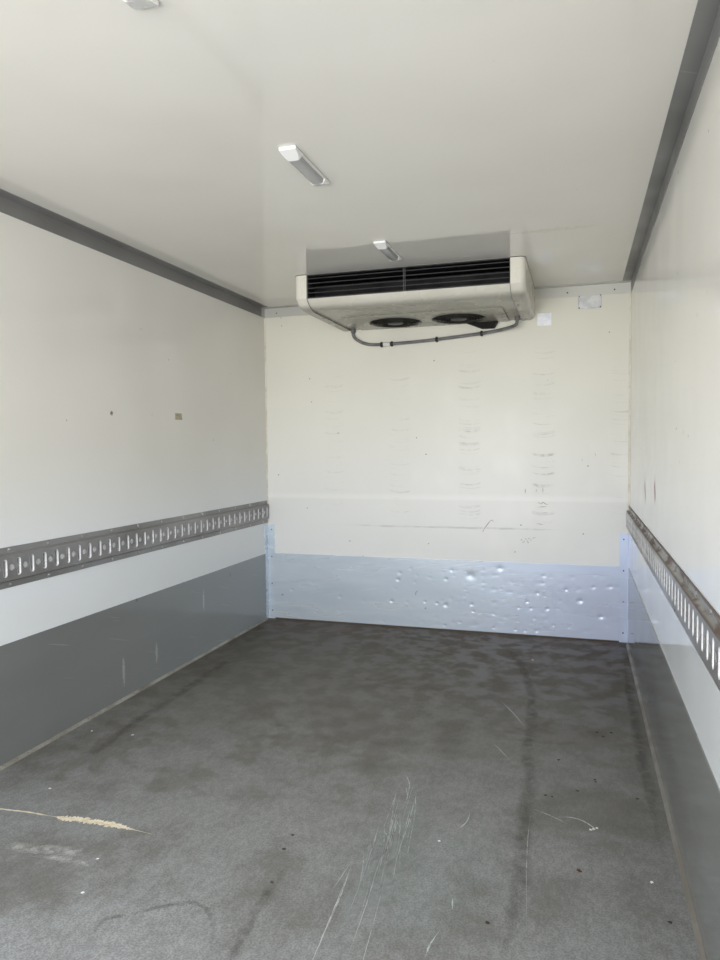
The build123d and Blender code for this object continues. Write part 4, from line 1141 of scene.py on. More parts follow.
# %% Build the front scuff plate
chance = np.random.default_rng(7)
deep_dents = np.array([
    (0.205, 0.321, 22, 4.2), (0.791, 0.210, 12, 3.4), (0.897, 0.130, 13, 3.2), (0.064, 0.145, 13, 3.0),
    (0.014, 0.152, 8, 2.0), (-0.056, 0.156, 8, 2.0), (0.212, 0.157, 10, 2.6), (0.221, 0.118, 8, 2.0),
    (0.570, 0.240, 9, 2.6), (-0.214, 0.277, 10, 2.8), (-0.254, 0.150, 10, 2.6), (-0.204, 0.316, 12, 1.6),
    (0.065, 0.294, 9, 2.4), (0.099, 0.345, 10, 1.4), (0.369, 0.368, 14, 2.4), (0.622, 0.156, 9, 2.4),
    (0.535, 0.153, 8, 2.0), (0.516, 0.189, 8, 1.8), (0.471, 0.153, 8, 1.8), (0.720, 0.267, 9, 1.8),
    (0.859, 0.287, 10, 1.4), (0.943, 0.294, 12, 1.8), (-0.879, 0.182, 8, 2.2), (-0.573, 0.158, 9, 2.0),
    (-0.574, 0.073, 7, 1.6), (-0.745, 0.231, 8, 1.2), (0.603, 0.336, 12, 1.2), (0.330, 0.112, 9, 1.4),
    (0.334, 0.032, 8, 1.8), (0.057, 0.027, 8, 1.8), (0.452, 0.030, 9, 2.0), (0.503, 0.027, 9, 2.0),
    (0.566, 0.031, 10, 2.4), (0.734, 0.062, 8, 1.2), (0.654, 0.066, 7, 1.2), (0.145, 0.052, 8, 1.4),
    (0.554, 0.098, 8, 1.2), (-0.305, 0.026, 9, 1.8)]) * (1, 1, 0.001, 0.001)
light_count = 110
low, high = corners("front_scuff")
across, rise = np.meshgrid(np.linspace(low[0], high[0], 560), np.linspace(low[2], high[2], 120))
light_dents = np.stack([chance.normal(0.35, 0.38, light_count).clip(low[0], high[0]),
                        chance.uniform(0.03, 0.36, light_count), chance.uniform(0.007, 0.016, light_count),
                        chance.uniform(0.0002, 0.0008, light_count)], -1)
all_dents = np.concatenate([deep_dents, light_dents]) + (0, z_floor, 0, 0)
pushed = dents(across, rise, all_dents[:, :2], all_dents[:, 2], all_dents[:, 3])
waves = 0.0004 * np.sin(across * 9 + 2 * np.sin(rise * 12)) * np.sin(rise * 7 + 1)
face = np.stack([across, np.minimum(low[1] - 0.0026 + pushed + waves, high[1] - 0.0003), rise], -1)
back = np.stack([across, np.full_like(across, high[1]), rise], -1)
add_piece("front_scuff_plate", closed_plate(face, back), finish["bright"],
          instead_of=("front_scuff",), crease=50)
print(len(all_dents), "dents, the deepest", round(1000 * float(pushed.max()), 1), "mm")


# %% [markdown]
# The side plates are glued flat to the wall, so they only have long shallow waves, faint
# pits and one crease along them. Small dark screws hold the corner guards in front of them.

# %% Build the side scuff plates
low, high = corners("side_scuffs")
along, rise = np.meshgrid(np.linspace(low[1], high[1], 240), np.linspace(low[2], high[2], 32))
crease_at = low[2] + 0.20 + 0.03 * np.sin(along * 0.9)
crease = 0.0009 * np.exp(-((rise - crease_at) / 0.006) ** 2)
ripples = 0.0005 * np.sin(along * 5 + rise * 3) * np.sin(rise * 9) + 0.0003 * np.sin(along * 17)
pit_count = 60
pits_at = np.stack([chance.uniform(low[1], high[1], pit_count),
                    chance.uniform(low[2], high[2], pit_count)], -1)
pits = dents(along, rise, pits_at, chance.uniform(0.01, 0.03, pit_count),
             chance.uniform(-0.0005, 0.0007, pit_count))
face = np.stack([high[0] - 0.0030 - crease - ripples + pits, along, rise], -1)
back = np.stack([np.full_like(along, high[0]), along, rise], -1)
add_piece("side_scuff_plates", both_sides(flipped(closed_plate(face, back))), finish["scuff"],
          instead_of=("side_scuffs",), crease=50)

guard_low, guard_high = corners("corner_guards")
guard_screw_x, guard_face = 1.010, guard_low[1] + 0.0425
trim_screw = (0.0042, 0.0022)
guard_screws = [(x, guard_face, z) for x in (-guard_screw_x, guard_screw_x)
                for z in np.linspace(guard_low[2] + 0.05, guard_high[2] - 0.03, 4)]
add_piece("corner_guard_screws", screw_heads(guard_screws, ("Y", -1), *trim_screw),
          finish["dark_screw"])


# %% [markdown]
# ## The cooling unit
#
# The evaporator hangs under the ceiling. Its fans draw air up through two openings in the
# underside and blow it out through the black grille. The solid has its cover. The pieces
# here are the ones that the eye checks: rolled lips round the openings, guards of round
# wire, thin grille blades, screws, seams, and the drain hose as a smooth tube. The unit
# outside on the nose has two fans as well, so the same helpers make its guards and motors.

# %% Build the fan guards of both units
def wire_guard(centre, outward, axis, radius, rings, spokes, wire, motor_radius):
    """Rings of wire round a motor, crossed by straight spokes; outward is +1 or -1."""
    ring_radii = np.linspace(motor_radius * 1.25, radius, rings)
    parts = [hoop(ring, wire, (0, 0, 0), "Z", 40, 6) for ring in ring_radii]
    for turn in np.linspace(0, 2 * np.pi, spokes, endpoint=False):
        direction = np.array([math.cos(turn), math.sin(turn), 0])
        spoke = np.linspace(motor_radius * 0.9, radius, 3)[:, None] * direction
        parts.append(tube(spoke - (0, 0, 1.6 * wire * outward), 1.2 * wire, 6, (0, 0, 1)))
    points, faces = join(*parts)
    return moved((points[:, AXIS_ORDER[axis]], faces), centre)


def motor_dome(centre, outward, axis, radius, depth):
    """Domed can: a quarter ellipse of radius against height, closed flat at the back."""
    share = np.linspace(0, 1, 9)
    profile = np.stack([radius * np.sqrt(1 - (share * 0.995) ** 3), depth * share * outward], -1)
    profile = np.concatenate([[(radius, -0.010 * outward)], profile])
    dome = turned_profile(profile, 28, axis, centre)
    return dome if outward > 0 else flipped(dome)


fan_x, opening, motor_wide = 0.172, 0.137, 0.044
fan_low, fan_high = corners("evap_fan_right")
fan_y = (fan_low[1] + fan_high[1]) / 2
lips, guards, motors = [], [], []
for x in (-fan_x, fan_x):
    lips.append(hoop(opening + 0.002, 0.004, (x, fan_y, z_under + 0.0035), "Z", 56, 10))
    guards.append(wire_guard((x, fan_y, z_under - 0.003), -1, "Z", opening + 0.004, 7, 8, 0.0013, motor_wide))
    motors.append(motor_dome((x, fan_y, z_under - 0.002), -1, "Z", motor_wide, 0.0095))
add_piece("evap_fan_lips", join(*lips), finish["evaporator"])
add_piece("evap_guard_wires", join(*guards), finish["guard"],
          instead_of=("evap_fan_guards",), crease=60)
add_piece("evap_motors", join(*motors), finish["motor"], instead_of=("evap_fan_guards",))

cond_low, cond_high = corners("cond_fan_right")
cond_x, cond_z = (cond_low[0] + cond_high[0]) / 2, (cond_low[2] + cond_high[2]) / 2
cond_front = corners("cond_cover")[1, 1]
cond_opening, cond_motor_wide = 0.160, 0.045
cond_guards, cond_motors = [], []
for x in (-cond_x, cond_x):
    cond_guards.append(wire_guard((x, cond_front + 0.004, cond_z), 1, "Y", cond_opening, 9, 12, 0.0015,
                                  cond_motor_wide))
    cond_motors.append(motor_dome((x, cond_front - 0.010, cond_z), 1, "Y", cond_motor_wide, 0.018))
add_piece("cond_guard_wires", join(*cond_guards), finish["guard"],
          instead_of=("cond_fan_guards",), crease=60)
add_piece("cond_motors", join(*cond_motors), finish["motor"],
          instead_of=("cond_fan_guards",))


# %% [markdown]
# Air leaves through five thin blades, held by one upright wire clip. Behind them black sheets
# line the inside of the unit as painted shade, so that the gaps look black from the doorway.
# Each bar is given by its range across, its range in depth and its range in height.

# %% Build the outlet grille
grille_low, grille_high = corners("evap_grille")
grille_half, y_grille = grille_high[0], grille_low[1]
blade_z = np.linspace(grille_low[2] + 0.004, grille_high[2] - 0.020, 5)
blade = np.array([(0.002, 0.0000), (0.0035, -0.0008), (0.0150, 0.0006), (0.0150, 0.0016), (0.0035, 0.0030),
                  (0.002, 0.0024)])
blades = [extruded(blade + (y_grille, z), "X", -grille_half + 0.002, grille_half - 0.002) for z in blade_z]
strip, top_strip = 0.003, 0.004
full_width, frame_deep = (-grille_half, grille_half), (y_grille + strip, grille_high[1])
between = (grille_low[2] + strip, grille_high[2] - top_strip)
frame_bars = beams((full_width, frame_deep, (grille_low[2], grille_low[2] + strip)),
                   (full_width, frame_deep, (grille_high[2] - top_strip, grille_high[2])),
                   ((-grille_half, -grille_half + strip), frame_deep, between),
                   ((grille_half - strip, grille_half), frame_deep, between))
add_piece("outlet_blades", join(*blades, frame_bars), finish["grille"],
          instead_of=("evap_grille",), crease=40)
clip_deep, clip_high = (y_grille - 0.001, y_grille + 0.003), (grille_low[2], grille_high[2])
clip = beams(((-0.0048, -0.0030), clip_deep, clip_high), ((0.0030, 0.0048), clip_deep, clip_high))
add_piece("grille_clip", clip, finish["hose"])


# %% [markdown]
# The painted-shade lining is thin black sheet on both sides, at the back and on top, and a
# bent tray below that follows the pan. The sides step down where the pan is flat.

# %% Build the painted-shade lining
z_pan, lining, y_flat = z_under + 0.006, 0.0015, 1.420
inner = grille_half - 0.0005
y_in, y_back, z_in = y_grille + 0.026, y_wall - 0.002, z_pan + 0.0045
left_side, right_side, inner_width = (-inner, -inner + lining), (inner - lining, inner), (-inner, inner)
upper, lower = (z_in + 0.04, z_ceiling - 0.003), (z_in, z_in + 0.04)
shade_sheets = beams((left_side, (y_in, y_back), upper), (right_side, (y_in, y_back), upper),
                (inner_width, (y_in, y_back), (z_ceiling - 0.003, z_ceiling - 0.001)),
                (inner_width, (y_back - lining, y_back), (z_in, z_ceiling - 0.003)),
                (left_side, (y_flat, y_back), lower), (right_side, (y_flat, y_back), lower))
shade_tray = np.array([(y_in, 0.0365), (1.400, 0.0085), (1.588, 0.0045), (1.588, 0.0065), (1.400, 0.0110),
                 (y_in, 0.0390)]) + (0, z_pan)
# The lining takes the black foam finish as painted shade: dark sheets where inside the unit there is only
# shade.
add_piece("painted_shade_lining", join(shade_sheets, extruded(shade_tray, "X", -inner, inner)), finish["foam"])


# %% [markdown]
# The end caps stand a little lower than the pan between them. Their joints are thin black
# lines: one follows the underside, which is flat and then bends up to the lip in an arc.
# Height on the arc is the flat height plus radius times (1 - cos(angle)).

# %% Build the joints of the end caps
cap_x, cap_outer = grille_half, corners("evap_ends")[1, 0]
fall, run = 0.050, 0.110
bend_radius = (fall ** 2 + run ** 2) / (2 * fall)
bend_angle = np.linspace(0, math.asin(run / bend_radius), 12)
y_bend, y_lip = y_wall - 0.590, y_wall - 0.700
under_y = np.concatenate([[y_wall - 0.002], y_bend - bend_radius * np.sin(bend_angle), [y_lip + 0.001]])
under_z = np.concatenate([[z_under], z_under + bend_radius * (1 - np.cos(bend_angle)), [z_ceiling - 0.004]])
joint_path = np.stack([np.full_like(under_y, cap_x), under_y, under_z], -1)
joints = tube(joint_path, 0.0013, 6, (1, 0.01, 0))
top_high = (z_ceiling - 0.0024, z_ceiling)
top_joint = beams(((cap_x, cap_outer - 0.026), (y_lip - 0.0008, y_lip + 0.002), top_high),
                  ((cap_outer - 0.001, cap_outer + 0.0008), (y_lip + 0.028, y_wall), top_high))
corner_round, corner_in = 0.030, 0.0295
corner_turn = np.linspace(0, np.pi / 2, 7)
corner_path = np.stack([cap_outer - corner_in + corner_round * np.sin(corner_turn),
                        y_lip + corner_in - corner_round * np.cos(corner_turn),
                        np.full(7, z_ceiling - 0.0012)], -1)
rounded_joint = tube(corner_path, 0.0014, 6, (0, 0, 1))
panel_x, panel_y = 0.420, y_wall - 0.385
panel_joint = beams(((panel_x - 0.001, panel_x + 0.001), (panel_y, y_wall - 0.002),
                     (z_under + 0.0050, z_under + 0.0062)))
all_joints = join(*[both_sides(joint) for joint in (joints, top_joint, rounded_joint, panel_joint)])
add_piece("cap_joints", all_joints, finish["dark_screw"], crease=60)
print("arc radius", round(bend_radius, 4))


# %% [markdown]
# The drain hose leaves the pan beside the left end cap, runs along the front wall in its
# clips and goes up into the pan again beside the right one. Its route is given by a few
# corner points as shares of its reach, and a quadratic B-spline bends it softly from the
# middle of one straight piece to the middle of the next.

# %% Build the hose, its rings and its coupling
reach, hose_radius = 0.468, 0.009
shares = np.array([(-1, 0, 0), (-1, 0, .5), (-.863, 0, .888), (-.705, 0, 1), (-.154, 0, .929),
                   (.321, 0, .765), (.641, 0, .643), (.829, .152, .531), (.966, .587, .449),
                   (1, 1, .378), (1, 1, 0)])
from_wall, comes_forward, hangs = 0.020, 0.092, 0.098
route = np.stack([reach * shares[:, 0], y_wall - from_wall - comes_forward * shares[:, 1],
                  z_pan - hangs * shares[:, 2]], -1)
hose = tube(smooth_path(route, 10), hose_radius, 14)
add_piece("hose_tube", hose, finish["hose"], instead_of=("drain_hose",))


def on_route(run, share):
    """A place on the route: that share of the way along one of its straight pieces."""
    return route[run] + share * (route[run + 1] - route[run])


def sleeve(run, share, length, radii):
    """Short tube round the hose, bulging as its row of radii says."""
    ahead = route[run + 1] - route[run]
    ahead = ahead / np.linalg.norm(ahead)
    steps = np.linspace(-length / 2, length / 2, len(radii))[:, None]
    return tube(on_route(run, share) + steps * ahead, np.array(radii), 18)


ring_radii = (0.0108, 0.0148, 0.0156, 0.0148, 0.0108)
coupling_radii = (0.0095, 0.0126, 0.0128, 0.0108, 0.0108, 0.0128, 0.0126, 0.0095)
clip_places = ((3, 0.124), (3, 0.36), (4, 0.42), (5, 0.8))
clip_rings = [sleeve(run, share, 0.015, ring_radii) for run, share in clip_places]
clip_at = np.array([on_route(run, share) for run, share in clip_places])
feet = bars(clip_at + (-0.006, 0, -0.006), clip_at + (0.006, 0.0195, 0.006))
add_piece("hose_rings", join(*clip_rings, feet), finish["clip"], instead_of=("hose_clips",))
add_piece("hose_coupling", sleeve(3, 0.242, 0.040, coupling_radii), finish["coupling"],
          instead_of=("hose_clips",))
end_profile = [(0.0125, -0.020), (0.0135, -0.018), (0.0135, -0.003), (0.0155, -0.001), (0.0155, 0.0)]
end_fittings = [turned_profile(end_profile, 16, "Z", (x, y, z_pan)) for x, y in route[[0, -1], :2]]
add_piece("hose_ends", join(*end_fittings), finish["hose"])


# %% [markdown]
# ## Lamps, labels and screws
#
# The ceiling lamps have a pale lens with fine ribs along it. Its section is a half circle
# whose sine and cosine are raised to the power 0.6, which makes it boxier, and the ribs are
# a cosine laid over it. A dark line round the base is the joint with the ceiling.

# %% Build the lamp lenses
base_low, base_high = corners("lamp_bases")
lens_low, lens_high = corners("lamp_lenses")
lamp_long, lens_long = 0.285, 0.190
lamp_x = (base_low[0] + base_high[0]) / 2
lamp_y = np.linspace(base_high[1] - lamp_long / 2, base_low[1] + lamp_long / 2, 3)
lamp_at = [(lamp_x, y, z_ceiling) for y in lamp_y]
lens_half, lens_top, lens_drop = (lens_high[0] - lens_low[0]) / 2, 0.008, z_ceiling - lens_low[2]
lens_turn = np.linspace(0, np.pi, 33)
ribs = 1 - 0.02 * (1 - np.cos(32 * lens_turn)) / 2
bulge = np.stack([np.sign(np.cos(lens_turn)) * np.abs(np.cos(lens_turn)) ** 0.6 * lens_half * ribs,
                  -lens_top - (lens_drop - lens_top) * np.sin(lens_turn) ** 0.6 * ribs], -1)
section = np.concatenate([bulge, [(-lens_half, -lens_top + 0.0005), (lens_half, -lens_top + 0.0005)]])
lens = loft(np.stack([np.insert(section, 1, place, axis=1) for place in (lens_long / 2, -lens_long / 2)]))
add_piece("ribbed_lenses", repeated(lens, lamp_at), finish["lens"],
          instead_of=("lamp_lenses",), crease=50)
lamp_joint = beams(((-0.0252, 0.0252), (-lamp_long / 2, lamp_long / 2), (-0.0010, -0.0001)))
add_piece("lamp_joints", repeated(lamp_joint, lamp_at), finish["dark_screw"])
print(len(lamp_y), "lamps at", [round(float(y), 3) for y in lamp_y])


# %% [markdown]
# Beside the cooling unit a small sticker and a riveted rating plate are left blank. They are
# cards of about a millimetre, so a bar is enough; a dark line stands for the plate's frame.
# A scrap of old tape sticks to the left wall.

# %% Build the labels
def label(low, high, thick=0.001):
    """Thin card on the front wall between two corners given as x and z."""
    return beams(((low[0], high[0]), (y_wall - thick, y_wall - 0.0001), (low[1], high[1])))


paper = worn("blank_paper", (248, 249, 252), (226, 230, 240), 0.0, (0.35, 0.5), 30.0, specks=0.9)
alloy = worn("plate_alloy", (228, 229, 230), (206, 207, 208), 0.5, (0.3, 0.42), 24.0)
old_tape = worn("old_tape", (190, 184, 158), (160, 152, 122), 0.0, (0.4, 0.6), 60.0, specks=0.7)
sticker = label((0.565, z_floor + 1.687), (0.638, z_floor + 1.753), 0.0004)
add_piece("blank_sticker", sticker, paper)
plate_low, plate_high = (0.773, z_floor + 1.761), (0.893, z_floor + 1.836)
add_piece("blank_rating_plate", label(plate_low, plate_high, 0.0012), alloy)
rivet_in, frame_in, line_wide = 0.007, 0.003, 0.0007
rivet_at = [(x, y_wall - 0.0010, z) for x in (plate_low[0] + rivet_in, plate_high[0] - rivet_in)
            for z in (plate_low[1] + rivet_in, plate_high[1] - rivet_in)]
add_piece("rating_plate_rivets", screw_heads(rivet_at, ("Y", -1), 0.0035, 0.0018), finish["dark_screw"])
frame_x, line_deep = (plate_low[0] + frame_in, plate_high[0] - frame_in), (y_wall - 0.0014, y_wall - 0.0010)
frame_z = (plate_low[1] + frame_in, plate_high[1] - frame_in)
border = beams((frame_x, line_deep, (frame_z[0], frame_z[0] + line_wide)),
               (frame_x, line_deep, (frame_z[1] - line_wide, frame_z[1])),
               ((frame_x[0], frame_x[0] + line_wide), line_deep, frame_z),
               ((frame_x[1] - line_wide, frame_x[1]), line_deep, frame_z))
add_piece("rating_plate_border", border, finish["dark_screw"])
tape = beams(((-x_wall + 0.0001, -x_wall + 0.0005), (y_wall - 1.012, y_wall - 0.952),
              (z_floor + 1.184, z_floor + 1.215)))
add_piece("tape_scrap", tape, old_tape)


# %% [markdown]
# Screws hold the end caps, the fan panel and the cove beside the unit. They are small, but
# rows of them tell the size of the body. In the two front corners a rounded bead of sealant
# closes the joint between the walls, from the corner guards up to the coves.

# %% Build the screws of the unit and the coves
cap_screw_x, cap_screw_rows = 0.4975, ((1.332, 2.0375), (1.348, 2.0305), (1.56, 2.010))
cap_screws = [(x, y, z) for x in (-cap_screw_x, cap_screw_x) for y, z in cap_screw_rows]
add_piece("cap_screws", screw_heads(cap_screws, ("Z", -1), *trim_screw), finish["dark_screw"])
panel_screws = [(x, y, z_under) for x in (-0.40, 0.0, 0.40) for y in (1.632, 1.98)]
add_piece("fan_panel_screws", screw_heads(panel_screws, ("Z", -1), 0.0038, 0.0016), finish["screw"])
cove_face, cove_screw_z = y_wall - 0.0022, z_ceiling - 0.033
cove_screws = [(x, cove_face, cove_screw_z) for x in (-0.955, -0.72, 0.72, 0.955)]
add_piece("cove_screws", screw_heads(cove_screws, ("Y", -1), *trim_screw), finish["dark_screw"])
bead_radius, bead_turn = 0.006, np.linspace(0, np.pi / 2, 6)
bead_arc = np.stack([x_wall - bead_radius * np.cos(bead_turn), y_wall - bead_radius * np.sin(bead_turn)], -1)
bead = np.concatenate([[(x_wall, y_wall)], bead_arc])
corner_bead = extruded(bead, "Z", guard_high[2], z_ceiling - 0.057)
corner_sealant = worn("corner_sealant", (226, 222, 208), (204, 198, 178), 0.0, (0.4, 0.6), 20.0)
add_piece("corner_beads", both_sides(corner_bead), corner_sealant)


# %% [markdown]
# Outside, blind rivets hold the corner profiles and sills to the skins, and round the inner
# face of each door they hold its lining. A row of rivets is one array of places.

# %% Rivet the profiles and the doors
x_profile, y_profile = corners("front_posts")[1, :2]
sill_high = corners("sill_rails")[1]
rivet_pitch, rivet_inset, post_middle = 0.15, 0.045, 0.033
blind_rivet = (0.0050, 0.0016)
z_roof_row, z_sill_row = corners("roof_rails")[0, 2] + 0.012, sill_high[2] - 0.011
along_body = np.arange(y_door + 0.07, y_wall - 0.06, rivet_pitch)
up_body = np.arange(z_floor, z_ceiling - 0.06, rivet_pitch)
side_rows = [(x_profile, y, z_roof_row) for y in along_body]
side_rows += [(sill_high[0], y, z_sill_row) for y in along_body]
side_rows += [(x_profile, y_wall - post_middle, z) for z in up_body]
nose_rows = [(x, y_profile, z_roof_row) for x in np.arange(-0.975, 1.0, rivet_pitch)]
nose_rows += [(side * (x_wall - post_middle), y_profile, z) for side in (-1, 1) for z in up_body]
rivets = join(both_sides(screw_heads(side_rows, ("X", 1), *blind_rivet)),
              screw_heads(nose_rows, ("Y", 1), *blind_rivet))
add_piece("profile_rivets", rivets, finish["screw"])

leaf_low, leaf_high = corners("door_leaf_right")
across_door = np.linspace(leaf_low[1] + rivet_inset, leaf_high[1] - rivet_inset, 7)
up_door = np.linspace(leaf_low[2] + rivet_inset, leaf_high[2] - rivet_inset, 13)
door_rivets = [(leaf_high[0], y, z) for y in across_door for z in up_door[[0, -1]]]
door_rivets += [(leaf_high[0], y, z) for y in across_door[[0, -1]] for z in up_door[1:-1]]
right_heads = screw_heads(door_rivets, ("X", 1), *blind_rivet)
for heads, body in ((right_heads, "right_door"), (mirrored(right_heads), "left_door")):
    add_piece("lining_rivets_" + body, heads, finish["screw"], body=body)


# %% [markdown]
# ## Marks
#
# Scratches, a gouge and specks are flat shapes that lie a fraction of a millimetre off a
# surface. Each is drawn in a plane first: a ribbon follows a bent line with a ragged width,
# and a fleck is a lopsided hexagon. Then the plane is laid on the floor or on a wall. A soft
# mark, such as a dark dirt line or the haze round a bundle of scratches, also carries a value
# that fades from its middle line to its sides, and its finish turns that value into
# see-through edges.

# %% Helpers for marks
def ribbon(points, width, ragged=0.5, steps=10, seed=1, columns=2):
    """Strip along a bent line, ragged at its sides and pointed at its ends, and its soft values."""
    noise = np.random.default_rng(seed)
    line = smooth_path(np.asarray(points, float), steps)
    ahead = np.gradient(line, axis=0)
    ahead /= np.linalg.norm(ahead, axis=1, keepdims=True)
    side = np.stack([ahead[:, 1], -ahead[:, 0]], -1)
    share = np.linspace(0, 1, len(line))[:, None]
    body = np.minimum(1, 7 * np.minimum(share, 1 - share))
    halves = width / 2 * body * (1 + ragged * noise.uniform(-1, 1, (len(line), 2)))
    across = np.linspace(-1, 1, columns)[None]
    offset = np.where(across < 0, halves[:, :1], halves[:, 1:]) * across
    return grid(line[:, None] + offset[..., None] * side[:, None]), ((1 - across ** 2) * body).ravel()


def flecks(places, size, seed=1):
    """Small hexagons, each a little different."""
    noise = np.random.default_rng(seed)
    places = np.asarray(places, float)
    angle = np.arange(6) * np.pi / 3 + noise.uniform(-0.3, 0.3, (len(places), 6))
    radius = size * noise.uniform(0.6, 1.2, (len(places), 6))
    flat = places[:, None] + radius[..., None] * np.stack([np.cos(angle), np.sin(angle)], -1)
    return flat.reshape(-1, 2), [np.arange(6 * len(places)).reshape(-1, 6)]


def on_floor(flat, lift=0.0004):
    """Lay a flat shape of x and of y from the front wall on the floor."""
    x, y = flat[0].T
    return np.stack([x, y_wall + y, np.full_like(x, z_floor + lift)], -1), flat[1]


def on_front(flat, lift=0.0003):
    """Stand a flat shape of x and height over the floor on the front wall."""
    x, z = flat[0].T
    return np.stack([x, np.full_like(x, y_wall - lift), z_floor + z], -1), flat[1]


def on_right(flat, lift=0.0003):
    """Stand a flat shape of y from the front wall and height over the floor on the right wall."""
    y, z = flat[0].T
    return flipped((np.stack([np.full_like(y, x_wall - lift), y_wall + y, z_floor + z], -1), flat[1]))


def soft_finish(name, colour, strength, scale=30.0):
    """Finish of a soft mark: see-through where its soft value or a ragged noise is low."""
    material, tree, shader, at = start_material(name, roughness=0.6)
    shader.inputs["Base Color"].default_value = (*colour, 1)
    soft = add_node(tree, "ShaderNodeAttribute", {"attribute_name": "soft"}).outputs["Fac"]
    ragged = effect(tree, "cloud", at, Scale=scale, Low=0.28, High=0.60)
    fill(tree, shader.inputs["Alpha"], times(tree, soft, ragged, strength))
    return material


def add_soft(name, lay, rows, material, seed):
    """One piece from a table of soft ribbons: width, then the points of the line."""
    strips = [ribbon(points, width, 0.3, 12, seed + number, 7)
              for number, (width, points) in enumerate(rows)]
    flats, fades = zip(*strips)
    add_piece(name, join(*[lay(flat) for flat in flats]), material, soft=np.concatenate(fades))


print("a ribbon of three points has", len(ribbon([(0, 0), (1, 0), (2, 1)], 0.1)[0][0]), "points")


# %% [markdown]
# The floor shows what was dragged over it. A gouge on the left was filled with cream filler:
# it is a thin ribbon and a thick one that overlap. All places on the floor are x, then y
# from the front wall.

# %% Fill the gouge
cream = worn("cream_filler", (240, 232, 214), (216, 202, 174), 0.0, (0.5, 0.7), 40.0, (1, 4, 1),
             specks=0.7)
thin_end = [(-0.875, -2.328), (-0.831, -2.323), (-0.731, -2.314), (-0.608, -2.316)]
thick_end = [(-0.68, -2.316), (-0.608, -2.313), (-0.526, -2.305), (-0.454, -2.304), (-0.312, -2.316)]
gouge = join(ribbon(thin_end, 0.006, 0.5, 14, 2)[0], ribbon(thick_end, 0.023, 0.55, 26, 3)[0])
add_piece("floor_gouge", on_floor(gouge, 0.0006), cream)


# %% [markdown]
# A bundle of fine scratches runs along the right middle. Its lines are drawn by chance inside
# the bundle. Single scrapes lie where the photograph has them: each row gives a width, then
# the points of the line.

# %% Scratch the floor
pale_mark = worn("pale_scratch", (192, 197, 198), (172, 176, 176), 0.0, (0.5, 0.7), 60.0)
scratches = []
bundle_count = 34
for number in range(bundle_count):
    start = np.array([chance.uniform(0.235, 0.335), -1.72 - 0.62 * chance.random()])
    end = start + (chance.uniform(0.020, 0.060), chance.uniform(-0.50, -0.08))
    middle = (start + end) / 2 + (chance.uniform(0.0, 0.008), 0)
    scratches.append(ribbon([start, middle, end], chance.uniform(0.0007, 0.0022), 0.9, 12, 10 + number)[0])
scrapes = [(0.0022, [(0.659, -1.889), (0.722, -1.919), (0.763, -1.954)]),
           (0.0034, [(0.722, -1.919), (0.776, -1.901), (0.829, -1.943), (0.822, -1.968)]),
           (0.0026, [(0.489, -1.959), (0.490, -2.015), (0.459, -2.077)]),
           (0.0028, [(0.499, -2.467), (0.485, -2.519), (0.485, -2.561)]),
           (0.003, [(0.506, -2.350), (0.513, -2.394)]),
           (0.0018, [(0.495, -1.462), (0.567, -1.586)]),
           (0.0018, [(0.476, -1.034), (0.550, -1.182), (0.596, -1.295)]),
           (0.0016, [(0.363, -2.281), (0.336, -2.175)]),
           (0.0014, [(0.237, -2.274), (0.228, -2.41)]),
           (0.0012, [(0.655, -1.897), (0.656, -2.106), (0.678, -2.415)])]
scratches += [ribbon(line, width, 0.6, 12, 40 + number)[0] for number, (width, line) in enumerate(scrapes)]
add_piece("floor_scratches", on_floor(join(*scratches)), pale_mark)


# %% [markdown]
# Pale flecks, dark crumbs and red specks are small hexagons. They too lie where the
# photograph has them.

# %% Scatter flecks, crumbs and specks
dark_mark = worn("dark_crumb", (44, 38, 34), (60, 54, 48), 0.0, (0.6, 0.8), 60.0)
red_mark = worn("red_speck", (96, 34, 28), (70, 28, 24), 0.0, (0.5, 0.7), 90.0)
white_at = [(-0.947, -1.769), (-0.777, -1.758), (-0.779, -2.179), (0.571, -0.444), (0.953, -2.160),
            (-0.337, -2.579), (-0.392, -2.454), (0.431, -2.128), (0.825, -1.952), (0.817, -1.958),
            (0.833, -1.946)]
dark_at = [(0.722, -1.541), (0.835, -1.655), (0.837, -1.668), (0.783, -1.743), (0.046, -2.210),
           (0.050, -2.278), (0.078, -2.417), (0.594, -2.414), (0.690, -1.796), (0.977, -2.300),
           (0.71, -1.80), (0.87, -1.30), (0.90, -1.26), (0.85, -1.27), (0.952, -1.744)]
add_piece("white_flecks", on_floor(flecks(white_at, 0.005, 5)), paper)
add_piece("dark_crumbs", on_floor(flecks(dark_at, 0.0058, 6)), dark_mark)
red_at = [(0.786, -2.157), (0.789, -2.163)]
add_piece("red_specks", on_floor(flecks(red_at, 0.006, 7)), red_mark)


# %% [markdown]
# Dirt gathers in soft dark lines along cracks in the resin and where the walls meet it. Pale
# haze lies round the scratches and on the left, where something heavy was slid. Each row
# gives a width, then the points of the line.

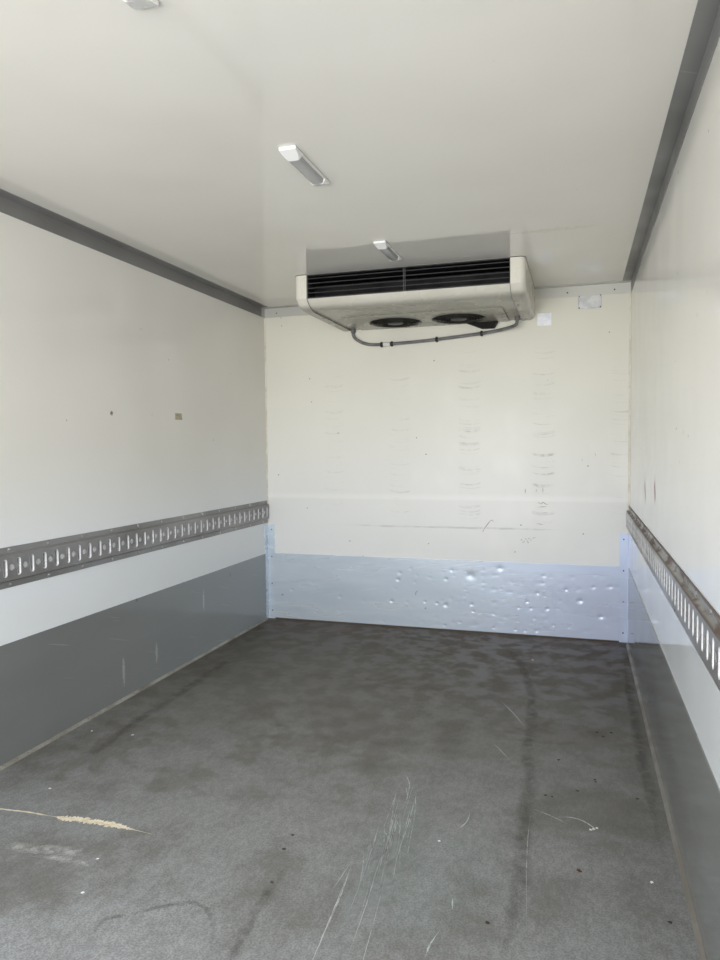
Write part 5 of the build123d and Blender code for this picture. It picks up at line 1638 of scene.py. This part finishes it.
# %% Lay the soft marks on the floor
dark_lines = [
    (0.050, [(0.284, -0.205), (0.421, -0.264), (0.498, -0.422), (0.583, -0.815), (0.618, -1.214),
             (0.612, -1.572), (0.650, -1.709), (0.637, -1.901), (0.646, -2.085), (0.651, -2.317),
             (0.640, -2.457), (0.630, -2.72)]),
    (0.016, [(-0.169, -2.758), (-0.245, -2.653), (-0.180, -2.616), (-0.123, -2.564), (-0.053, -2.528),
             (0.026, -2.590), (0.073, -2.74)]),
    (0.028, [(0.102, -2.279), (0.080, -2.417), (0.096, -2.619), (0.113, -2.78)]),
    (0.060, [(-0.871, -0.60), (-0.865, -0.926), (-0.843, -1.407), (-0.836, -1.865), (-0.757, -2.183)]),
    (0.045, [(1.0, -0.05), (0.985, -1.2), (0.99, -2.4)])]
scratch_haze = [(0.10, [(0.300, -1.76), (0.325, -2.05), (0.345, -2.32), (0.350, -2.62)]),
                (0.05, [(0.27, -2.00), (0.29, -2.35), (0.285, -2.66)])]
pale_haze = [(0.05, [(-0.72, -2.45), (-0.62, -2.475), (-0.50, -2.444), (-0.38, -2.456)]),
             (0.03, [(-0.60, -2.50), (-0.45, -2.47), (-0.36, -2.50)])]
add_soft("dark_dirt_lines", on_floor, dark_lines, soft_finish("dark_dirt", srgb(76, 73, 66), 0.26),
         60)
add_soft("scratch_haze", on_floor, scratch_haze, soft_finish("scratch_haze", srgb(178, 188, 188), 0.34, 44.0),
         90)
add_soft("pale_haze", on_floor, pale_haze, soft_finish("pale_haze", srgb(206, 208, 206), 0.55, 60.0),
         80)


# %% [markdown]
# The front wall carries specks, short thin lines and one faint level line, where a load
# rubbed it. The right wall has three rusty streaks above its rail. On the front wall a place
# is x and height over the floor; on the right wall it is y from the front wall and height.

# %% Stand the marks on the walls
specks_at = [(-0.924, 1.776), (-0.748, 1.454), (-0.739, 1.316), (-0.572, 1.130), (-0.102, 1.095),
             (-0.047, 1.001), (-0.958, 0.882), (-0.774, 0.683), (-0.035, 0.491), (0.807, 0.571),
             (0.931, 1.634), (0.829, 0.934), (0.481, 0.611), (-0.506, 0.492), (0.449, 0.461),
             (-0.426, 0.406), (0.002, 1.528), (-0.927, 1.823)]
grains_at = [(0.484, 0.529), (0.498, 0.521), (0.508, 0.535), (0.516, 0.524), (0.524, 0.538),
             (0.535, 0.530), (0.546, 0.541), (0.556, 0.544), (0.492, 0.515), (0.519, 0.516)]
lines = [[(0.265, 0.553), (0.279, 0.582), (0.313, 0.630), (0.323, 0.636), (0.343, 0.617)],
         [(0.503, 0.814), (0.504, 0.782)],
         [(0.596, 0.821), (0.597, 0.785)],
         [(0.563, 0.810), (0.563, 0.793)],
         [(0.796, 0.978), (0.803, 0.955)],
         [(0.862, 1.006), (0.871, 0.984)],
         [(0.556, 0.725), (0.577, 0.739), (0.587, 0.723), (0.598, 0.742), (0.614, 0.723), (0.638, 0.734)],
         [(0.566, 0.711), (0.624, 0.715)],
         [(0.582, 0.679), (0.630, 0.683)],
         [(0.561, 0.621), (0.603, 0.615)]]
scrawls = [ribbon(line, 0.0028, 0.9, 8, 100 + number)[0] for number, line in enumerate(lines)]
wall_dirt = worn("wall_dirt", (120, 114, 100), (148, 142, 128), 0.0, (0.4, 0.6), 60.0)
wall_marks = join(flecks(specks_at, 0.0042, 8), flecks(grains_at, 0.0030, 9), *scrawls)
add_piece("front_wall_specks", on_front(wall_marks), wall_dirt)

rust_line = worn("rust_streak", (140, 90, 86), (160, 116, 110), 0.0, (0.4, 0.6), 90.0)
streak_rows = [(0.020, [(-0.87, 0.905), (-0.905, 0.870), (-0.930, 0.845), (-0.945, 0.815)]),
               (0.026, [(-1.25, 0.925), (-1.285, 0.895), (-1.295, 0.860), (-1.275, 0.845)]),
               (0.012, [(-0.66, 0.905), (-0.665, 0.880)])]
streaks = [ribbon(line, width, 0.5, 10, 120)[0] for width, line in streak_rows]
add_piece("right_wall_streaks", on_right(join(*streaks)), rust_line)
level_line = [(0.014, [(-0.95, 0.590), (-0.1, 0.586), (0.35, 0.589), (1.00, 0.590)])]
add_soft("level_line", on_front, level_line, soft_finish("wall_line", srgb(164, 165, 166), 0.22, 9.0),
         140)
